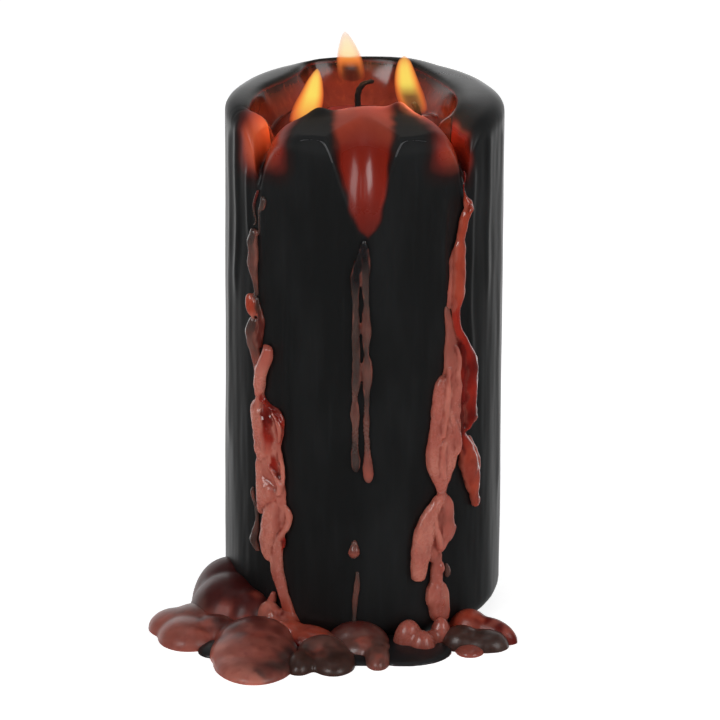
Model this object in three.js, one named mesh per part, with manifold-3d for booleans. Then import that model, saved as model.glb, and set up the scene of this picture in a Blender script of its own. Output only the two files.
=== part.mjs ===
// A burning three-wick pillar candle, black outside and red inside, melted down one side.
// Lengths are millimetres and angles are degrees.  +Z is up and the origin is the candle's
// axis on its underside.  Bearings run round the axis: 0 faces -Y, the front, and 90 faces +X.
import * as THREE from 'three';
import { mergeVertices } from 'three/addons/utils/BufferGeometryUtils.js';
import Module from 'manifold-3d';

const wasm = await Module();
wasm.setup();

// ---------- driving dimensions ----------
const radius = 50;            // of the pillar
const height = 192;           // of the rim above the table
const footRound = 9;          // radius of the rounding at the foot
const rimRound = 5;           // radius of the rounding outside the rim
const gap = 0.3;              // air between neighbouring pieces
const wallGap = 0.35;         // air between the wall and the runs on it
const craterFloor = 172;      // bottom of the bowl
const poolLevel = 176;        // top of the molten wax in the bowl
const bowlTaper = 0.93;       // width of the bowl at its floor over its width at the rim
const lipPoint = -16;         // front edge of the bowl, along Y
const wickRadius = 1.4;
const tabRadius = 7.5;        // metal foot of each wick
const tabThick = 0.8;
const tabRecess = 2.2;        // depth of the pocket that holds a foot
const flameHalfWidth = 4.7;

// The bowl's edge at the rim, as [bearing, radius].
const bowlEdge = [
  [-72, 43], [-87, 41.3], [-112, 38.6], [-135, 38.7], [-154, 43.1], [-173, 45.6], [165, 45.2],
  [147, 40.9], [121, 34.5], [93, 33.4], [73, 33.7], [56, 35.5],
];
const lipEdge = [[25, -18.5], [10, lipPoint], [-6, lipPoint], [-20, lipPoint - 1.5], [-31, -15]];

// Where each wick stands, where its charred end points, and where its flame leans.
const wicks = [
  { name: 'back', x: -2, y: 22, top: [[-2.4, 186], [-1.4, 189], [2.2, 190.4]], flame: [-5.2, 190, -6.6, 208.8] },
  { name: 'left', x: -20, y: -11, top: [[-20, 183], [-19.2, 186], [-18, 188]], flame: [-22, 188.6, -16.4, 206] },
  { name: 'right', x: 19.6, y: -11, top: [[19.6, 183], [18.6, 188], [15.8, 192]], flame: [19.4, 189.6, 15.2, 209.4] },
];

// Two spill troughs, open at the top, each along [x, y, lowest height], out from the bowl.
const leftTrough = [
  [-22, -6, 178.5], [-31, -13, 177.5], [-34.6, -20, 176], [-36.6, -28, 173.5], [-38, -35, 170],
  [-39.4, -41, 165.5],
];
const rightTrough = [
  [20, -8, 178.5], [28, -16, 177.5], [31.5, -23, 176.5], [34, -30, 173], [36, -36, 169.5], [38, -42, 164.5],
];
// Their section, as [sideways, up]: steep by the bed, then flaring over the soft flanks.
// The first side is the one towards the middle of the candle's front.
const troughMoundSide = [[1, 0], [1.8, 4], [2.8, 8.5], [5, 12.5], [8.4, 15.4], [13, 17.2], [20, 18.6]];
const troughShoulderSide = [[6.5, 19.6], [4, 15.5], [2.8, 11], [2, 5], [1, 0]];
const troughTop = 40;

// The scoop down the front, as [height, x of its middle, half width, depth].
const scoop = [
  [199, -1, 16, 9], [190, -1, 13, 6], [182, -0.6, 10.4, 4.4], [174.5, 0.3, 8.5, 3.8],
  [166.8, 0.5, 6.8, 3.1], [159, 0.9, 4.8, 2], [152, 1.6, 1.6, 0.5],
];

// Wax runs on the wall, from the top down, as [bearing, height, half width, stand-off].
const leftRun = [
  [-47, 166.5, 0.5, 0.7], [-49, 162, 1.3, 1.5], [-49.5, 156, 1.2, 1.5], [-50.5, 150, 2.2, 2.2],
  [-50.5, 140, 2.2, 2.4], [-49.5, 131.5, 1.6, 2], [-51.5, 126, 2.6, 3], [-51.5, 120, 2.2, 2.8],
  [-50.5, 115, 3.5, 3.8], [-48.5, 109.5, 3.7, 4.2], [-45, 105, 3.8, 5], [-45, 100, 3, 4.2],
  [-45.5, 95, 2.3, 3], [-44.5, 89, 3, 3.8], [-42.5, 83, 4.6, 5.2], [-42, 76, 4.4, 5.2],
  [-41.5, 68, 4, 4.8], [-41, 60, 4, 5], [-40, 52, 5, 5.6], [-39.5, 45, 4.6, 5],
  [-39, 38, 3.8, 4.4], [-38, 31, 2.6, 3.4], [-37.5, 24, 2.2, 3], [-35.5, 18, 2.3, 3.2], [-34, 12, 3.4, 4],
  [-33.5, 9.5, 1, 1],
];
const leftSideRun = [
  [-48.5, 56, 0.4, 0.5], [-49, 50, 1.8, 2.2], [-49.4, 42, 1.6, 2], [-49, 34, 1.9, 2.4], [-48, 28, 0.5, 0.6],
];
const rightRun = [
  [43, 166.5, 0.5, 0.7], [45, 162.5, 2.3, 3.2], [43.5, 157.5, 1.8, 2.4], [42.5, 152, 1.8, 2.4],
  [41, 145, 2.1, 2.8], [40.5, 137, 2.2, 3], [40, 130, 2.7, 3.4], [37.5, 124, 2.3, 3],
  [36.8, 115, 2.4, 3.2], [36.5, 108, 2.2, 3.4], [35.5, 100, 3.1, 3.8], [35, 92, 3.5, 4.2],
  [34.3, 82, 4.4, 5], [34.3, 73, 5, 5.4], [33.5, 67, 4.8, 5.2], [33, 58, 2.9, 3.6],
  [32, 50, 4.6, 4.8], [30, 43, 6, 5.6], [29.5, 37, 5.4, 5], [31, 30, 2.9, 3.6],
  [32, 25, 3.2, 3.9], [31.6, 18, 3.3, 3.8], [31.2, 12, 2.8, 3.4], [31, 9.5, 0.8, 1],
];
const rightFinger = [[27, 44, 2, 2], [24.5, 37, 3, 4.2], [23, 31, 3, 4.4], [23, 26, 2.8, 4.2], [23, 23, 0.8, 1]];
const redRun = [
  [41.5, 124, 0.5, 0.6], [43.8, 116, 2.4, 2.8], [46, 106, 2.9, 3.4], [46.4, 98, 3.2, 3.6],
  [45.6, 90, 2.4, 3], [45.5, 83, 2.6, 3.2], [47, 77, 2.2, 3], [48, 68, 3.1, 3.8],
  [49.2, 59, 3.5, 4.4], [50.5, 52, 2, 3], [51.5, 46.5, 0.5, 0.8],
];
const centreLeftStrand = [
  [0.2, 153, 0.6, 0.6], [-2, 147, 1.5, 1.1], [-3.4, 140, 1.6, 1.3], [-3.2, 121, 1.4, 1.5],
  [-2.9, 102, 1.6, 1.5], [-3.3, 95, 1, 1.1], [-3.3, 90, 1.6, 1.6], [-3.2, 83, 1, 1.1],
  [-3.1, 77, 1.3, 1.4], [-2.9, 71, 1.6, 1.9], [-2.8, 66, 0.4, 0.5],
];
const centreRightStrand = [
  [0.2, 153, 0.6, 0.6], [0.8, 147, 1.5, 1.1], [0.6, 140, 1.4, 1.3], [1.2, 122, 1.8, 2],
  [1.2, 113, 1.1, 1.2], [1.6, 105, 1.8, 2], [1.4, 95, 1, 1.1], [1.3, 87, 1.1, 1.2],
  [1.6, 76, 1.1, 1.2], [2.2, 67, 1.9, 2.2], [2.2, 62, 0.4, 0.6],
];
const tear = [[-3.3, 41, 0.4, 0.5], [-3.3, 38.5, 1.5, 1.6], [-3.3, 36, 2.1, 2.2], [-3.3, 33.5, 0.5, 0.6]];
const footThread = [[-2, 29, 0.4, 0.4], [-2.2, 24, 1.1, 1.1], [-3, 18, 1.1, 1.2], [-3.2, 13, 0.9, 1], [-3.2, 11, 0.4, 0.4]];

// Wax puddles on the table, each a group of domes [x, y, half length, half width, top, turn].
const puddles = {
  black_puddle: [
    [0, -52, 21, 18, 4.2, 0], [12, -56, 17, 15.5, 4.4, -20], [-14, -58, 17, 15, 3.4, 25],
    [-34, -54, 17, 15, 3.4, 30], [-52, -53, 8, 11.6, 3, -25],
  ],
  left_puddle: [
    [-67.5, -31, 9.5, 10.5, 6.4, 35], [-62.5, -45.5, 10.8, 13.8, 7.4, -30], [-54, -38, 13, 13, 8.4, 0],
  ],
  front_puddle: [
    [-40, -73, 13.6, 17.2, 7.4, -14], [-36, -60, 14, 17, 8.8, -20], [-34, -74, 9.4, 13, 6.6, 12],
    [-47, -53, 9, 10, 7.6, 0],
  ],
  wine_puddle: [
    [-48.5, -20, 15.5, 20, 14, -22], [-51, -3, 10, 11.5, 13, 0], [-45, -30, 11.5, 13.5, 15, -30],
  ],
  left_foot: [[-30, -45, 8.5, 7.4, 10.5, 35], [-23, -53, 10.5, 7.6, 7.6, -20], [-14, -56, 9, 6.4, 6.4, -12]],
  brown_puddle: [[-22.4, -76.5, 4.6, 6.8, 5, 0], [-11.2, -73, 7.8, 9.8, 5.6, 8], [-15, -63, 10, 8, 6.6, -10]],
  centre_puddle: [[-0.4, -56, 11.2, 9.4, 9.6, 0], [6, -69.6, 4.2, 7.8, 5.6, 0], [2, -62, 8, 6, 8, 0]],
  right_puddle: [[35, -49, 8.5, 8.4, 7.4, -20], [43.6, -52, 9.6, 7, 6.4, -30], [47, -53, 5.4, 7.2, 5.4, 0]],
  pink_puddle: [[39.2, -57, 5.4, 6.6, 2.8, 0]],
  red_puddle: [[39.5, -35.5, 6, 7, 9.5, -20], [46, -41, 8.6, 4, 7, -42], [51.2, -45.6, 3.4, 3.4, 5, 0]],
  curl: [[18, -54.6, 6.4, 8.4, 10.8, 10], [20, -60.5, 5.4, 5.6, 8.6, 0], [27.4, -49.8, 4.6, 5.6, 10, 0]],
};
const domeFlatness = 0.62;    // 1 is a true ellipsoid, less is flatter on top

// ---------- colours ----------
const colours = {
  skin: { color: 0x1c1c1e, roughness: 0.42 },
  red: { color: 0x8a1a12, roughness: 0.3 },
  pink: { color: 0xb05a4c, roughness: 0.45 },
  wine: { color: 0x3c1014, roughness: 0.2 },
  brown: { color: 0x4f342e, roughness: 0.4 },
  wick: { color: 0x14110f, roughness: 0.9 },
  tin: { color: 0x9a9a98, roughness: 0.35, metalness: 1 },
  flame: { color: 0xffb040, roughness: 0.5 },
};

// ---------- helpers ----------
const toRad = THREE.MathUtils.degToRad;

/** The point on a circle of radius r at a bearing. */
function atBearing(bearing, r, z) {
  return new THREE.Vector3(r * Math.sin(toRad(bearing)), -r * Math.cos(toRad(bearing)), z);
}

/** A closed three.js geometry as a solid that can be joined and cut. */
function solid(geometry) {
  const bare = geometry.clone();
  bare.deleteAttribute('normal');
  bare.deleteAttribute('uv');
  const merged = mergeVertices(bare, 1e-4);
  return new wasm.Manifold(new wasm.Mesh({
    numProp: 3,
    vertProperties: new Float32Array(merged.attributes.position.array),
    triVerts: new Uint32Array(merged.index.array),
  }));
}

/** The largest single body of a solid, without slivers that a cut leaves. */
function mainBody(shape) {
  return shape.decompose().sort((a, b) => b.volume() - a.volume())[0];
}

/** A solid as a named mesh with its colour. */
function mesh(name, shape, colour) {
  const { vertProperties, triVerts } = mainBody(shape).getMesh();
  const geometry = new THREE.BufferGeometry();
  geometry.setAttribute('position', new THREE.BufferAttribute(vertProperties, 3));
  geometry.setIndex(new THREE.BufferAttribute(triVerts, 1));
  geometry.computeVertexNormals();
  const made = new THREE.Mesh(geometry, new THREE.MeshStandardMaterial(colour));
  made.name = name;
  return made;
}

/** A stack of rings: place(ring, angle, share) gives each vertex, share being 0 at a cap's middle. */
function stack(rings, sides, place) {
  const geometry = new THREE.CylinderGeometry(1, 1, 1, sides, rings - 1);
  const position = geometry.attributes.position;
  const vertex = new THREE.Vector3();
  for (let i = 0; i < position.count; i++) {
    vertex.fromBufferAttribute(position, i);
    const ring = Math.round((0.5 - vertex.y) * (rings - 1));
    const moved = place(ring, Math.atan2(vertex.z, vertex.x), Math.min(1, Math.hypot(vertex.x, vertex.z)));
    position.setXYZ(i, moved.x, moved.y, moved.z);
  }
  return solid(geometry);
}

/** A wax run that clings to the wall; grow makes it fatter, to cut room for it. */
function run(stations, grow = 0) {
  const last = stations.length - 1;
  return stack(stations.length, 8, (ring, angle, share) => {
    const [bearing, z, halfWidth, standOff] = stations[ring];
    const across = Math.cos(angle) * share * (halfWidth + grow);
    const out = Math.max(0, Math.sin(angle)) * share * (standOff + grow);
    const endRise = ring === 0 ? grow : ring === last ? -grow : 0;
    const turned = bearing + THREE.MathUtils.radToDeg(across / radius);
    return atBearing(turned, radius + wallGap - grow + out, z + endRise);
  });
}

/** An open trough along [x, y, lowest height]; side is 1 where the candle's front lies at +X of it. */
function trough(stations, side) {
  const last = stations.length - 1;
  const section = [
    ...troughMoundSide, [troughMoundSide.at(-1)[0], troughTop], [-troughShoulderSide[0][0], troughTop],
    ...troughShoulderSide.map(([across, up]) => [-across, up]),
  ];
  return stack(stations.length, section.length, (ring, angle, share) => {
    const [x, y, bed] = stations[ring];
    const before = stations[Math.max(0, ring - 1)];
    const after = stations[Math.min(last, ring + 1)];
    const course = new THREE.Vector2(after[0] - before[0], after[1] - before[1]).normalize();
    const turn = side * Math.round(angle / (Math.PI * 2) * section.length);
    const [across, up] = section[(turn + section.length) % section.length];
    const offset = side * across * share;
    const middle = troughTop / 2;
    return new THREE.Vector3(
      x - course.y * offset, y + course.x * offset, bed + middle + (up - middle) * share);
  });
}

/** Everything below the table, or between two heights, as a block to cut with. */
function slab(low, high) {
  return solid(new THREE.BoxGeometry(400, 400, high - low).translate(0, 0, (low + high) / 2));
}

/** A cylinder standing on z = low. */
function post(x, y, r, low, high, sides = 20) {
  const geometry = new THREE.CylinderGeometry(r, r, high - low, sides);
  return solid(geometry.rotateX(Math.PI / 2).translate(x, y, (low + high) / 2));
}

/** A round rod along a curve through the points. */
function rod(points, r, steps = 10) {
  const section = new THREE.Shape().absarc(0, 0, r, 0, Math.PI * 2);
  const path = new THREE.CatmullRomCurve3(points);
  return solid(new THREE.ExtrudeGeometry(section, { steps, curveSegments: 4, extrudePath: path }));
}

// ---------- the candle's body ----------
/** The pillar before it melted, fatter by grow all round. */
function pillar(grow = 0) {
  const profile = new THREE.Path();
  profile.moveTo(0, -grow);
  profile.lineTo(radius - footRound, -grow);
  profile.absarc(radius - footRound, footRound, footRound + grow, -Math.PI / 2, 0, false);
  profile.absarc(radius - rimRound, height - rimRound, rimRound + grow, 0, Math.PI / 2, false);
  profile.lineTo(0, height + grow);
  return solid(new THREE.LatheGeometry(profile.getPoints(2), 64).rotateX(Math.PI / 2));
}

/** The bowl's edge as a smooth closed outline. */
function bowlOutline(count) {
  const back = bowlEdge.map(([bearing, r]) => atBearing(bearing, r, 0));
  const front = lipEdge.map(([x, y]) => new THREE.Vector3(x, y, 0));
  return new THREE.CatmullRomCurve3([...back, ...front], true).getSpacedPoints(count);
}

/** A solid that fills the bowl between two heights, narrower by shrink all round. */
function bowlFill(low, high, shrink) {
  const sides = 48;
  const outline = bowlOutline(sides);
  const rings = 3;
  return stack(rings, sides, (ring, angle, share) => {
    const z = THREE.MathUtils.lerp(high, low, ring / (rings - 1));
    const depth = (height - z) / (height - craterFloor);
    const scale = share * THREE.MathUtils.lerp(1, bowlTaper, depth);
    const turn = Math.round(((angle / (Math.PI * 2)) * sides + sides) % sides) % sides;
    const point = outline[turn];
    const trim = share * shrink / point.length();
    return new THREE.Vector3(point.x * (scale - trim), point.y * (scale - trim), z);
  });
}

/** The scoop that molten wax cut down the front wall and over the rim. */
function scoopCut() {
  const reach = 9;
  return stack(scoop.length, 20, (ring, angle, share) => {
    const [z, x, halfWidth, depth] = scoop[ring];
    const inward = Math.max(0, Math.sin(angle)) * depth;
    const outward = Math.min(0, Math.sin(angle)) * reach;
    const wall = Math.sqrt(radius ** 2 - x ** 2);
    return new THREE.Vector3(x - Math.cos(angle) * share * halfWidth, -wall + (inward + outward) * share, z);
  });
}

function candleBody() {
  let body = pillar()
    .subtract(bowlFill(craterFloor, height + 8, 0))
    .subtract(trough(leftTrough, 1))
    .subtract(trough(rightTrough, -1))
    .subtract(scoopCut());
  for (const { x, y } of wicks) {
    body = body.subtract(post(x, y, wickRadius + gap, -1, craterFloor + 1, 16));
    body = body.subtract(post(x, y, tabRadius + 2 * gap, -1, tabRecess, 20));
  }
  return body;
}

// ---------- wicks, their metal feet, the molten pool and the flames ----------
function wickSolid({ x, y, top }) {
  const straight = [[x, tabThick + 2 * gap], [x, 60], [x, 120], [x, poolLevel]];
  return rod([...straight, ...top].map(([px, pz]) => new THREE.Vector3(px, y, pz)), wickRadius, 18);
}

/** A wick's foot: a thin disc with a short collar that the wick stands in. */
function tabSolid({ x, y }) {
  const disc = post(x, y, tabRadius, gap, gap + tabThick);
  const collar = post(x, y, wickRadius + 3 * gap, gap, tabRecess - gap);
  return disc.add(collar).subtract(post(x, y, wickRadius + gap, gap + tabThick / 2, tabRecess + 1, 16));
}

function meltPool() {
  return wicks.reduce(
    (pool, { x, y }) => pool.subtract(post(x, y, wickRadius + gap, craterFloor, poolLevel + 1, 16)),
    bowlFill(craterFloor + gap, poolLevel, 2 * gap));
}

/** A flame: a teardrop that leans from its foot to its tip, clear of its wick. */
function flameSolid(wick) {
  const [footX, footZ, tipX, tipZ] = wick.flame;
  const profile = new THREE.SplineCurve([
    new THREE.Vector2(0, 0), new THREE.Vector2(0.7, 0.1), new THREE.Vector2(1, 0.32),
    new THREE.Vector2(0.75, 0.62), new THREE.Vector2(0.3, 0.88), new THREE.Vector2(0, 1),
  ]).getPoints(9).map((p) => new THREE.Vector2(Math.max(0, p.x) * flameHalfWidth, p.y * (tipZ - footZ)));
  profile[0].x = 0;
  profile[profile.length - 1].x = 0;
  const geometry = new THREE.LatheGeometry(profile, 12).rotateX(Math.PI / 2);
  const lean = (tipX - footX) / (tipZ - footZ);
  geometry.applyMatrix4(new THREE.Matrix4().makeShear(0, 0, 0, 0, lean, 0));
  geometry.translate(footX, wick.y, footZ);
  const points = [[wick.x, footZ - 6], ...wick.top].map(([px, pz]) => new THREE.Vector3(px, wick.y, pz));
  points.push(points[points.length - 1].clone().lerp(points[points.length - 2], -0.12));
  return solid(geometry).subtract(rod(points, wickRadius + gap, 8));
}

// ---------- puddles ----------
/** Overlapping low domes on the table, joined; grow makes them fatter, to cut room for them. */
function domes(list, grow = 0) {
  return list.map(([x, y, halfLength, halfWidth, top, turn]) => {
    const geometry = new THREE.SphereGeometry(1, 14, 8).rotateX(Math.PI / 2);
    const position = geometry.attributes.position;
    for (let i = 0; i < position.count; i++) {
      position.setZ(i, Math.sign(position.getZ(i)) * Math.abs(position.getZ(i)) ** domeFlatness);
    }
    geometry.scale(halfLength + grow, halfWidth + grow, top + grow);
    geometry.rotateZ(toRad(turn)).translate(x, y, 0);
    return solid(geometry);
  }).reduce((all, one) => all.add(one));
}

// ---------- assembly ----------
const group = new THREE.Group();
group.name = 'melted_candle';

group.add(mesh('candle_body', candleBody(), colours.skin));
group.add(mesh('melt_pool', meltPool(), colours.red));
for (const wick of wicks) {
  group.add(mesh(`wick_${wick.name}`, wickSolid(wick), colours.wick));
  group.add(mesh(`wick_foot_${wick.name}`, tabSolid(wick), colours.tin));
  group.add(mesh(`flame_${wick.name}`, flameSolid(wick), colours.flame));
}

const runs = {
  left_run: { parts: [leftRun], colour: colours.pink },
  left_side_run: { parts: [leftSideRun], colour: colours.brown },
  right_run: { parts: [rightRun, rightFinger], colour: colours.pink },
  red_run: { parts: [redRun], colour: colours.red },
  centre_run: { parts: [centreLeftStrand, centreRightStrand], colour: colours.brown },
  centre_tear: { parts: [tear], colour: colours.pink },
  centre_thread: { parts: [footThread], colour: colours.pink },
};
const placed = [];
for (const [name, { parts, colour }] of Object.entries(runs)) {
  const shape = parts.map((part) => run(part)).reduce((all, one) => all.add(one));
  group.add(mesh(name, placed.reduce((rest, other) => rest.subtract(other), shape), colour));
  placed.push(...parts.map((part) => run(part, gap)));
}

const puddleColours = {
  black_puddle: colours.skin, wine_puddle: colours.wine, brown_puddle: colours.brown,
  right_puddle: colours.brown, red_puddle: colours.red,
};
const wall = pillar(gap);
const belowTable = slab(-60, 0);
for (const [name, list] of Object.entries(puddles)) {
  const shape = domes(list).subtract(belowTable).subtract(wall);
  group.add(mesh(
    name,
    placed.reduce((rest, other) => rest.subtract(other), shape),
    puddleColours[name] ?? colours.pink));
  placed.push(domes(list, gap));
}

export default group;
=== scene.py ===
"""Looks of a lit, half-melted three-wick pillar candle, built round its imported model.

Shapes are worked out in millimetres and turned into metres as each piece is finished.
Bearings run round the candle's axis in degrees: 0 faces -Y, the melted front, and 90 faces +X.
"""
import logging
import math
import random
from dataclasses import dataclass
from enum import Enum

import bmesh
import bpy
import numpy as np
from mathutils import Matrix, Vector, kdtree, noise


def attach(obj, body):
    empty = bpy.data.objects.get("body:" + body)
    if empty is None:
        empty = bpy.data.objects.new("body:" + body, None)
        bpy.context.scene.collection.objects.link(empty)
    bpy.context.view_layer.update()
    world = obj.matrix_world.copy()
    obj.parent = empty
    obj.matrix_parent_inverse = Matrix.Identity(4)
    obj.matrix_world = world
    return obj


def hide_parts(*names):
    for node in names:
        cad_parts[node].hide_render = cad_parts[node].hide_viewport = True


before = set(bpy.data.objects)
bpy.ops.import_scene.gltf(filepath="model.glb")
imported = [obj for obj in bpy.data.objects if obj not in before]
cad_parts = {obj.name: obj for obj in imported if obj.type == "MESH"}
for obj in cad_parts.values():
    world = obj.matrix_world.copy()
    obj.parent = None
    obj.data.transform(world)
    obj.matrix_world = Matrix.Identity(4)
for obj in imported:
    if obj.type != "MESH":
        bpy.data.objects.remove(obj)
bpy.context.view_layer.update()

log = logging.getLogger("candle")

MM = 0.001
BODY = "root"
BODY_NODE = "candle_body"
RADIUS = 50.0
HEIGHT = 192.0
FOOT_ROUND = 9.0
POOL_LEVEL = 176.0
WALL_LOW = 130.0  # where the melted wall ends and the plain wall starts
FAR = 1e9  # a distance past any in the candle
SKY = 400.0  # a height clear of the candle, where nothing is cut away
WELD = 1e-4  # how close points are that get joined into one


class Wax(Enum):
    """Colours that the wax took where the black skin and the red core ran together."""

    PINK = (0.390, 0.106, 0.077)
    SALMON = (0.470, 0.155, 0.113)
    CORAL = (0.350, 0.058, 0.030)
    RED = (0.300, 0.020, 0.010)
    BLOOD = (0.120, 0.006, 0.004)
    ROSE = (0.270, 0.072, 0.052)
    TERRACOTTA = (0.270, 0.050, 0.032)
    UMBER = (0.050, 0.022, 0.016)
    MAROON = (0.085, 0.014, 0.010)
    BROWN = (0.135, 0.060, 0.048)
    SMOKE = (0.060, 0.040, 0.035)
    WINE = (0.060, 0.009, 0.008)
    BLACK = (0.010, 0.010, 0.011)


@dataclass(frozen=True)
class Dab:
    """A dab of colour in a piece of wax: where, how far it reaches in millimetres, which wax, how wet."""

    centre: Vector
    reach: float
    wax: Vector
    wet: float


@dataclass(frozen=True)
class Strand:
    """One tongue of wax down the wall.

    course holds [bearing, height, half width] from the top down. depth is its thickness over its
    width, and lift how far it stands off the wall, over what ran before it. waxes holds a letter of
    SHADES for each step down it, and wets how wet it looks at each step.
    """

    course: tuple[tuple[float, float, float], ...]
    depth: float
    lift: float
    waxes: str
    wets: tuple[float, ...]


@dataclass(frozen=True)
class Dome:
    """One dome of a puddle: its centre, half length, half width, top, turn in degrees, wax and wetness."""

    x: float
    y: float
    half_length: float
    half_width: float
    top: float
    turn: float
    wax: str
    wet: float


# ---------------------------------------------------------------- small helpers
def smoothstep(low: float, high: float, value: float) -> float:
    """Return 0 below low, 1 above high and an eased step between them."""
    t = min(1.0, max(0.0, (value - low) / (high - low)))
    return t * t * (3.0 - 2.0 * t)


def ramp(low: float, high: float, value: "np.ndarray | float") -> "np.ndarray | float":
    """Return an eased step from 0 at low to 1 at high, for arrays too; low may be above high."""
    t = np.clip((value - low) / (high - low), 0.0, 1.0)
    return t * t * (3.0 - 2.0 * t)


def soft_min(first: np.ndarray, second: np.ndarray, blend: float) -> np.ndarray:
    """Return the lesser of two arrays, with the crease between them rounded over about blend."""
    return np.minimum(first, second) - blend * np.log1p(np.exp(-np.abs(first - second) / blend))


def off_segment(
    x: np.ndarray, y: np.ndarray, start: np.ndarray, end: np.ndarray
) -> tuple[np.ndarray, np.ndarray, np.ndarray]:
    """Find each point's place beside a straight segment.

    Args:
        x: Where the points are.
        y: The same, along Y.
        start: The segment's first end; more than its X and Y is ignored.
        end: Its other end.

    Returns:
        How far along the segment the nearest place is, from 0 to 1, and the way from it to the point.
    """
    span = end[:2] - start[:2]
    share = ((x - start[0]) * span[0] + (y - start[1]) * span[1]) / max(1e-9, float(np.dot(span, span)))
    share = np.clip(share, 0, 1)
    return share, x - start[0] - share * span[0], y - start[1] - share * span[1]


def at_bearing(bearing: float, radius: float, height: float) -> Vector:
    """Return the point at a bearing round the axis, in millimetres."""
    angle = math.radians(bearing)
    return Vector((radius * math.sin(angle), -radius * math.cos(angle), height))


def bearing_of(point: Vector) -> float:
    """Return a point's bearing round the axis, in degrees."""
    return math.degrees(math.atan2(point.x, -point.y))


def wall_radius(height: float) -> float:
    """Return the pillar's radius at a height, which shrinks at its rounded foot."""
    if height >= FOOT_ROUND:
        return RADIUS
    drop = FOOT_ROUND - max(0.0, height)
    return RADIUS - FOOT_ROUND + math.sqrt(FOOT_ROUND**2 - drop**2)


def eased(values: list[float], at: float) -> float:
    """Return a value between the entries of a list, on a curve through all of them.

    Args:
        values: The entries, at 0, 1, 2 and so on.
        at: Where to read, from 0 to the last entry's number.

    Returns:
        The value on a Catmull-Rom curve through the entries.
    """
    low = min(int(at), len(values) - 2)
    a, b, c, d = (values[min(len(values) - 1, max(0, low + step))] for step in (-1, 0, 1, 2))
    t = at - low
    return b + 0.5 * t * (c - a + t * (2 * a - 5 * b + 4 * c - d + t * (3 * (b - c) + d - a)))


def along(values: list[float], share: float) -> float:
    """Return a value between evenly spaced entries, share of the way from the first to the last."""
    if len(values) == 1:
        return values[0]
    at = share * (len(values) - 1)
    low = min(int(at), len(values) - 2)
    return values[low] * (1 - (at - low)) + values[low + 1] * (at - low)


def turbulence(point: Vector, size: float, seed: float = 0.0) -> float:
    """Return smooth noise from -1 to 1 that varies over about size millimetres."""
    return noise.noise(point / size + Vector((seed, seed * 1.7, seed * 0.6)))


def linked(name: str, data: bpy.types.ID) -> bpy.types.Object:
    """Make an object for a mesh, light or camera and put it in the scene."""
    made = bpy.data.objects.new(name, data)
    bpy.context.scene.collection.objects.link(made)
    return made


def mesh_of(bm: bmesh.types.BMesh, name: str) -> bpy.types.Mesh:
    """Turn a bmesh into a mesh, and free it."""
    mesh = bpy.data.meshes.new(name)
    bm.to_mesh(mesh)
    bm.free()
    return mesh


def fused(bm: bmesh.types.BMesh, voxel: float, passes: int) -> bmesh.types.BMesh:
    """Join overlapping closed shapes into one skin of even quads and soften it.

    Args:
        bm: The shapes; it is freed.
        voxel: Size of a quad, in millimetres.
        passes: How many times the skin is smoothed.

    Returns:
        A new bmesh with one skin.
    """
    mesh = mesh_of(bm, "raw")
    raw = linked("raw", mesh)
    remesh = raw.modifiers.new("skin", "REMESH")
    remesh.mode = "VOXEL"
    remesh.voxel_size = voxel
    soften = raw.modifiers.new("soften", "SMOOTH")
    soften.factor = 0.5
    soften.iterations = passes
    depsgraph = bpy.context.evaluated_depsgraph_get()
    skin = bmesh.new()
    skin.from_object(raw, depsgraph)
    bpy.data.objects.remove(raw)
    bpy.data.meshes.remove(mesh)
    return skin


def finished(
    bm: bmesh.types.BMesh, name: str, material: bpy.types.Material, nodes: tuple[str, ...]
) -> bpy.types.Object:
    """Turn a bmesh in millimetres into a smooth-shaded piece that stands for its CAD nodes.

    Args:
        bm: The mesh, with its attributes; it is freed.
        name: The piece's name.
        material: Its material.
        nodes: The CAD nodes that it stands for.

    Returns:
        The piece, riding on the candle.
    """
    bmesh.ops.scale(bm, vec=(MM, MM, MM), verts=bm.verts)
    for face in bm.faces:
        face.smooth = True
    mesh = mesh_of(bm, name)
    mesh.materials.append(material)
    piece = linked(name, mesh)
    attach(piece, BODY)
    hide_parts(*nodes)
    triangles = sum(len(polygon.vertices) - 2 for polygon in mesh.polygons)
    log.info("%s: %d triangles", name, triangles)
    return piece


def hollows(bm: bmesh.types.BMesh, passes: int) -> list[float]:
    """Measure how deep in a hollow each vertex sits, from 0 on flats and bumps to about 1.

    Args:
        bm: The mesh, with normals.
        passes: How many times the measure is spread to its neighbours.

    Returns:
        One measure for each vertex.
    """
    bm.verts.index_update()
    around = [[edge.other_vert(vert).index for edge in vert.link_edges] for vert in bm.verts]
    places = [vert.co.copy() for vert in bm.verts]
    measure = []
    for vert, near in zip(bm.verts, around):
        mean = sum((places[i] for i in near), Vector()) / max(1, len(near))
        measure.append((mean - vert.co).dot(vert.normal))
    for _ in range(passes):
        measure = [
            0.5 * own + 0.5 * sum(measure[i] for i in near) / max(1, len(near))
            for own, near in zip(measure, around)
        ]
    return measure


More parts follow.
